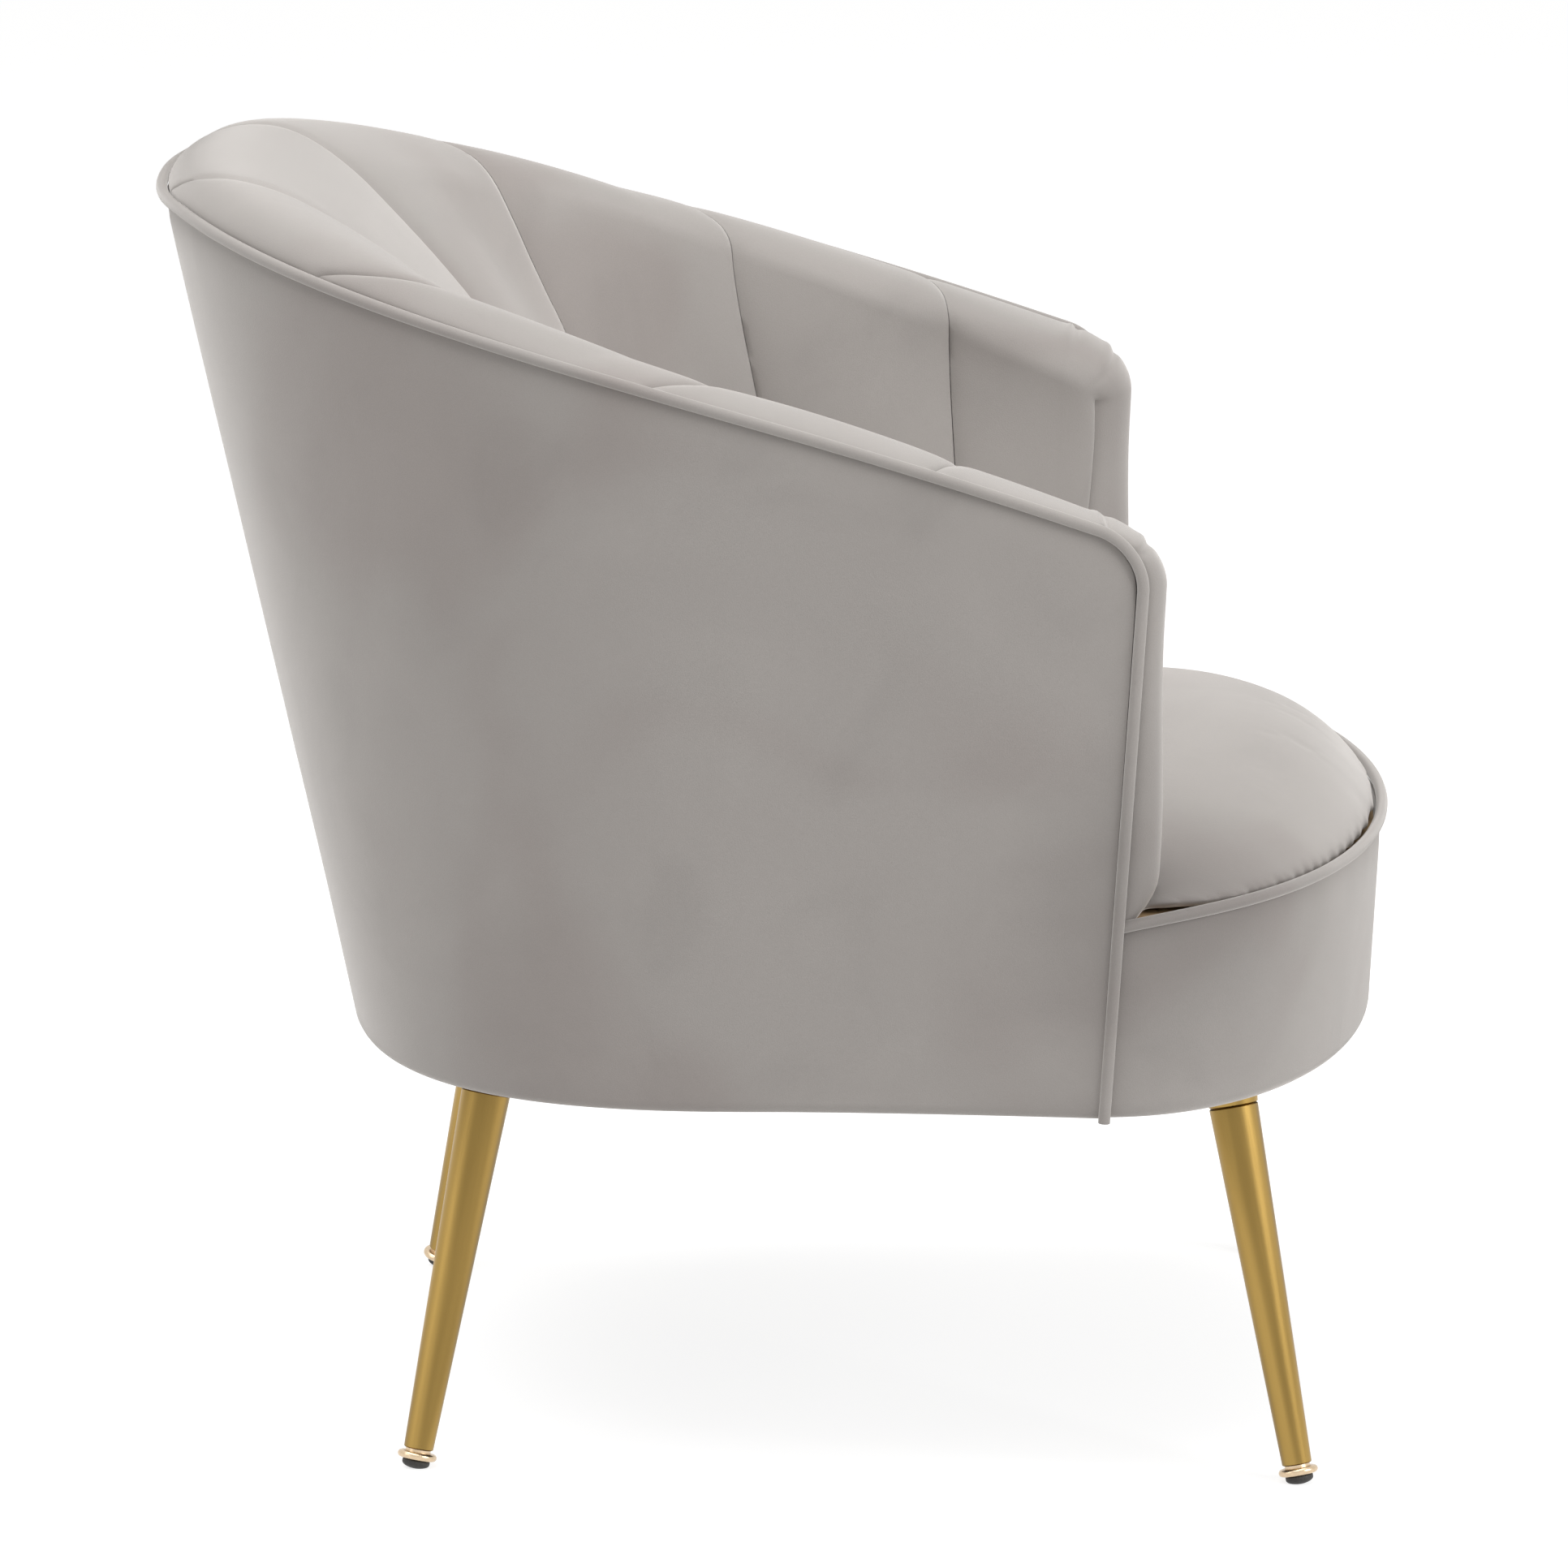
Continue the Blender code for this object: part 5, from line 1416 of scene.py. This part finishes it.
def build_stage():
    look = settings().stage
    mesh = bpy.data.meshes.new("floor")
    signs = ((-1, -1), (1, -1), (1, 1), (-1, 1))
    corners = [(x * FLOOR_HALF_WIDTH, y * FLOOR_HALF_WIDTH, 0.0) for x, y in signs]
    mesh.from_pydata(corners, [], [(0, 1, 2, 3)])
    mesh.materials.append(floor_material())
    floor = stage_object("floor", mesh)
    floor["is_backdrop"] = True
    build_world()
    for name, power, location, (width, height) in SOFTBOXES:
        light = bpy.data.lights.new(name, "AREA")
        light.shape = "RECTANGLE"
        light.size, light.size_y = width, height
        light.energy = getattr(look, power)
        aim(stage_object(name, light, location), CAMERA_TARGET)
    camera = bpy.data.cameras.new("camera")
    camera.lens = CAMERA_LENS
    camera.sensor_width = SENSOR_WIDTH
    camera.sensor_fit = "HORIZONTAL"
    camera.clip_end = VIEW_DEPTH
    pitch = math.radians(CAMERA_PITCH_DEG)
    away = Vector((-math.cos(pitch), 0.0, math.sin(pitch))) * CAMERA_DISTANCE
    item = stage_object("camera", camera, CAMERA_TARGET + away)
    aim(item, CAMERA_TARGET)
    bpy.context.scene.camera = item
    bpy.context.scene.view_settings.view_transform = "Standard"


# Settings

def size(name, description, default):
    return FloatProperty(name=name, description=description, default=default, unit="LENGTH")


def number(name, description, default):
    return FloatProperty(name=name, description=description, default=default, min=0.0)


def tint(name, description, default):
    return FloatVectorProperty(
        name=name, description=description, default=default, subtype="COLOR", min=0.0, max=1.0
    )


class VelvetLook(bpy.types.PropertyGroup):
    colour: tint("Colour", "Velvet where its nap lies evenly", (0.322, 0.301, 0.285))
    shadow_colour: tint("Turned nap", "Velvet where its nap is turned", (0.298, 0.272, 0.257))
    sheen_colour: tint("Sheen colour", "Colour of the pile seen edge-on", (0.96, 0.93, 0.90))
    sheen: number("Sheen", "How much the pile shines edge-on", 0.9)
    sheen_roughness: number("Sheen spread", "How far the shine spreads", 0.42)
    roughness: number("Roughness", "Roughness of the pile", 0.9)
    patch_scale: number("Patches", "Brushed patches per metre", 4.0)
    smudge_scale: number("Smudges", "Smudges of the nap per metre", 8.0)
    smudges: number("Smudge strength", "How much the smudges darken the velvet", 0.5)
    # Painted shade: the tone of the darkened velvet where seat and arm fronts meet, and how far it
    # reaches.
    corner_shade_tone: number("Corner tone", "Tone of the nap where seat and arm meet", 0.76)
    corner_shade_reach: size("Corner reach", "How far the darker nap reaches there", 0.135)
    stroke_depth: size("Stroke depth", "Height of the turned nap", 0.0005)
    grain_scale: number("Grain", "Pile grains per metre", 1500.0)
    grain_depth: size("Grain depth", "Height of the pile grain", 0.00012)


class PaddingLook(bpy.types.PropertyGroup):
    crown: size("Crown", "How far a channel swells between its seams", 0.010)
    pinch: size("Pinch", "How deep a seam is drawn in", 0.0022)
    pinch_width: size("Pinch width", "How far the drawn-in line spreads", 0.0055)
    pleat: size("Pleats", "Depth of the pleats at the arm fronts", 0.0017)
    pull_depth: size("Pulls", "Depth of the small pulls beside a seam", 0.0008)
    pull_width: size("Pull width", "How far the pulls reach from a seam", 0.012)
    pull_scale: number("Pull scale", "Pulls per metre along a seam", 45.0)
    pucker_depth: size("Puckers", "Depth of the puckers below the piping", 0.0007)
    pucker_width: size("Pucker reach", "How far the puckers run down", 0.022)
    pucker_scale: number("Pucker scale", "Puckers per metre", 38.0)
    wrinkle_depth: size("Wrinkles", "Depth of the wrinkles beside the arm fronts", 0.0014)
    wrinkle_width: size("Wrinkle reach", "How far the wrinkles reach over the seat", 0.035)
    wrinkle_scale: number("Wrinkle scale", "Wrinkles per metre", 26.0)
    dent_depth: size("Dents", "Depth of the broad soft dents of the seat", 0.0012)
    dust_sag: size("Dust cover sag", "How far the underside cloth sags", 0.003)
    cover_waviness: size("Cover waviness", "Broad unevenness of the covers", 0.0008)


class MetalLook(bpy.types.PropertyGroup):
    brass: tint("Brass", "Brushed brass of the legs", (0.362, 0.236, 0.070))
    brass_roughness: number("Brass roughness", "Roughness of the legs", 0.33)
    brushing: size("Brushing", "Depth of the brush lines", 0.00003)
    champagne: tint("Champagne", "Plating of the adjusters", (0.72, 0.56, 0.38))
    champagne_roughness: number("Adjuster roughness", "Roughness of the adjusters", 0.25)
    glide: tint("Glide", "Moulded glides", (0.03, 0.028, 0.026))
    zinc: tint("Stud", "Zinc of the studs", (0.55, 0.55, 0.56))
    stud_roughness: number("Stud roughness", "Roughness of the studs", 0.4)


class StageLook(bpy.types.PropertyGroup):
    floor_colour: tint("Floor", "Colour of the floor", (0.80, 0.80, 0.80))
    floor_white: number("Floor white", "White that the camera sees added to the floor", 0.80)
    shadow_share: number("Shadow", "Share of the floor that still takes a shadow", 0.40)
    sky: number("Ambient", "Strength of the light from all round", 0.43)
    sky_colour: tint("Ambient colour", "Colour of the light from all round", (1.0, 0.99, 0.98))
    overhead: number("Overhead", "Power of the overhead softbox", 100.0)
    from_back: number("Behind", "Power of the softbox behind the chair", 18.0)
    from_front: number("In front", "Power of the softbox in front of the chair", 82.0)


class TubChair(bpy.types.PropertyGroup):
    velvet: PointerProperty(type=VelvetLook)
    padding: PointerProperty(type=PaddingLook)
    metal: PointerProperty(type=MetalLook)
    stage: PointerProperty(type=StageLook)


# Operators

class ChairOperator(bpy.types.Operator):
    """Base of the chair's operators."""

    bl_options = {"REGISTER", "UNDO"}
    build = None

    def execute(self, context):
        type(self).build()
        return {"FINISHED"}


class AddChannels(ChairOperator):
    """Add the nine padded channels of the inside back and arms."""

    bl_idname = "tub_chair.channels"
    bl_label = "Channels"
    build = staticmethod(build_channels)


class AddCushion(ChairOperator):
    """Add the crowned seat cushion."""

    bl_idname = "tub_chair.cushion"
    bl_label = "Seat cushion"
    build = staticmethod(build_cushion)


class AddCovers(ChairOperator):
    """Add the cover of the outside and the band under the seat."""

    bl_idname = "tub_chair.covers"
    bl_label = "Outer covers"
    build = staticmethod(build_covers)


class AddPiping(ChairOperator):
    """Add the piping of the rim and of the seat."""

    bl_idname = "tub_chair.piping"
    bl_label = "Piping"
    build = staticmethod(build_piping)


class AddLegs(ChairOperator):
    """Add the brushed legs and their bosses, and finish the studs."""

    bl_idname = "tub_chair.legs"
    bl_label = "Legs"
    build = staticmethod(build_legs)


class AddFeet(ChairOperator):
    """Add the screw adjusters and the glides."""

    bl_idname = "tub_chair.feet"
    bl_label = "Feet"
    build = staticmethod(build_feet)


class FinishInside(ChairOperator):
    """Finish the wood, board and webbing, and add the cloth under them."""

    bl_idname = "tub_chair.inside"
    bl_label = "Inner frame"
    build = staticmethod(build_inside)


class AddStage(ChairOperator):
    """Add the floor, the studio light and the camera."""

    bl_idname = "tub_chair.stage"
    bl_label = "Stage"
    build = staticmethod(build_stage)


OPERATORS = (
    AddChannels,
    AddCushion,
    AddCovers,
    AddPiping,
    AddLegs,
    AddFeet,
    FinishInside,
    AddStage,
)
LOOKS = (VelvetLook, PaddingLook, MetalLook, StageLook)


class TubChairPanel(bpy.types.Panel):
    """Lists the steps and the settings of the tub chair."""

    bl_idname = "VIEW3D_PT_tub_chair"
    bl_label = "Tub chair"
    bl_space_type = "VIEW_3D"
    bl_region_type = "UI"
    bl_category = "Tub chair"

    def draw(self, context):
        looks = context.scene.tub_chair
        for operator in OPERATORS:
            self.layout.operator(operator.bl_idname)
        for group in (looks.velvet, looks.padding, looks.metal, looks.stage):
            box = self.layout.box()
            for name in group.__annotations__:
                box.prop(group, name)


CLASSES = LOOKS + (TubChair,) + OPERATORS + (TubChairPanel,)


def register():
    for cls in CLASSES:
        bpy.utils.register_class(cls)
    bpy.types.Scene.tub_chair = PointerProperty(type=TubChair)


def unregister():
    del bpy.types.Scene.tub_chair
    for cls in reversed(CLASSES):
        bpy.utils.unregister_class(cls)


def main():
    register()
    for operator in OPERATORS:
        group, name = operator.bl_idname.split(".")
        getattr(getattr(bpy.ops, group), name)()
    boxes = {"cad": CAD_BOX, "visual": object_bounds()}
    {key: [list(corner) for corner in box] for key, box in boxes.items()}


if __name__ == "__main__":
    main()
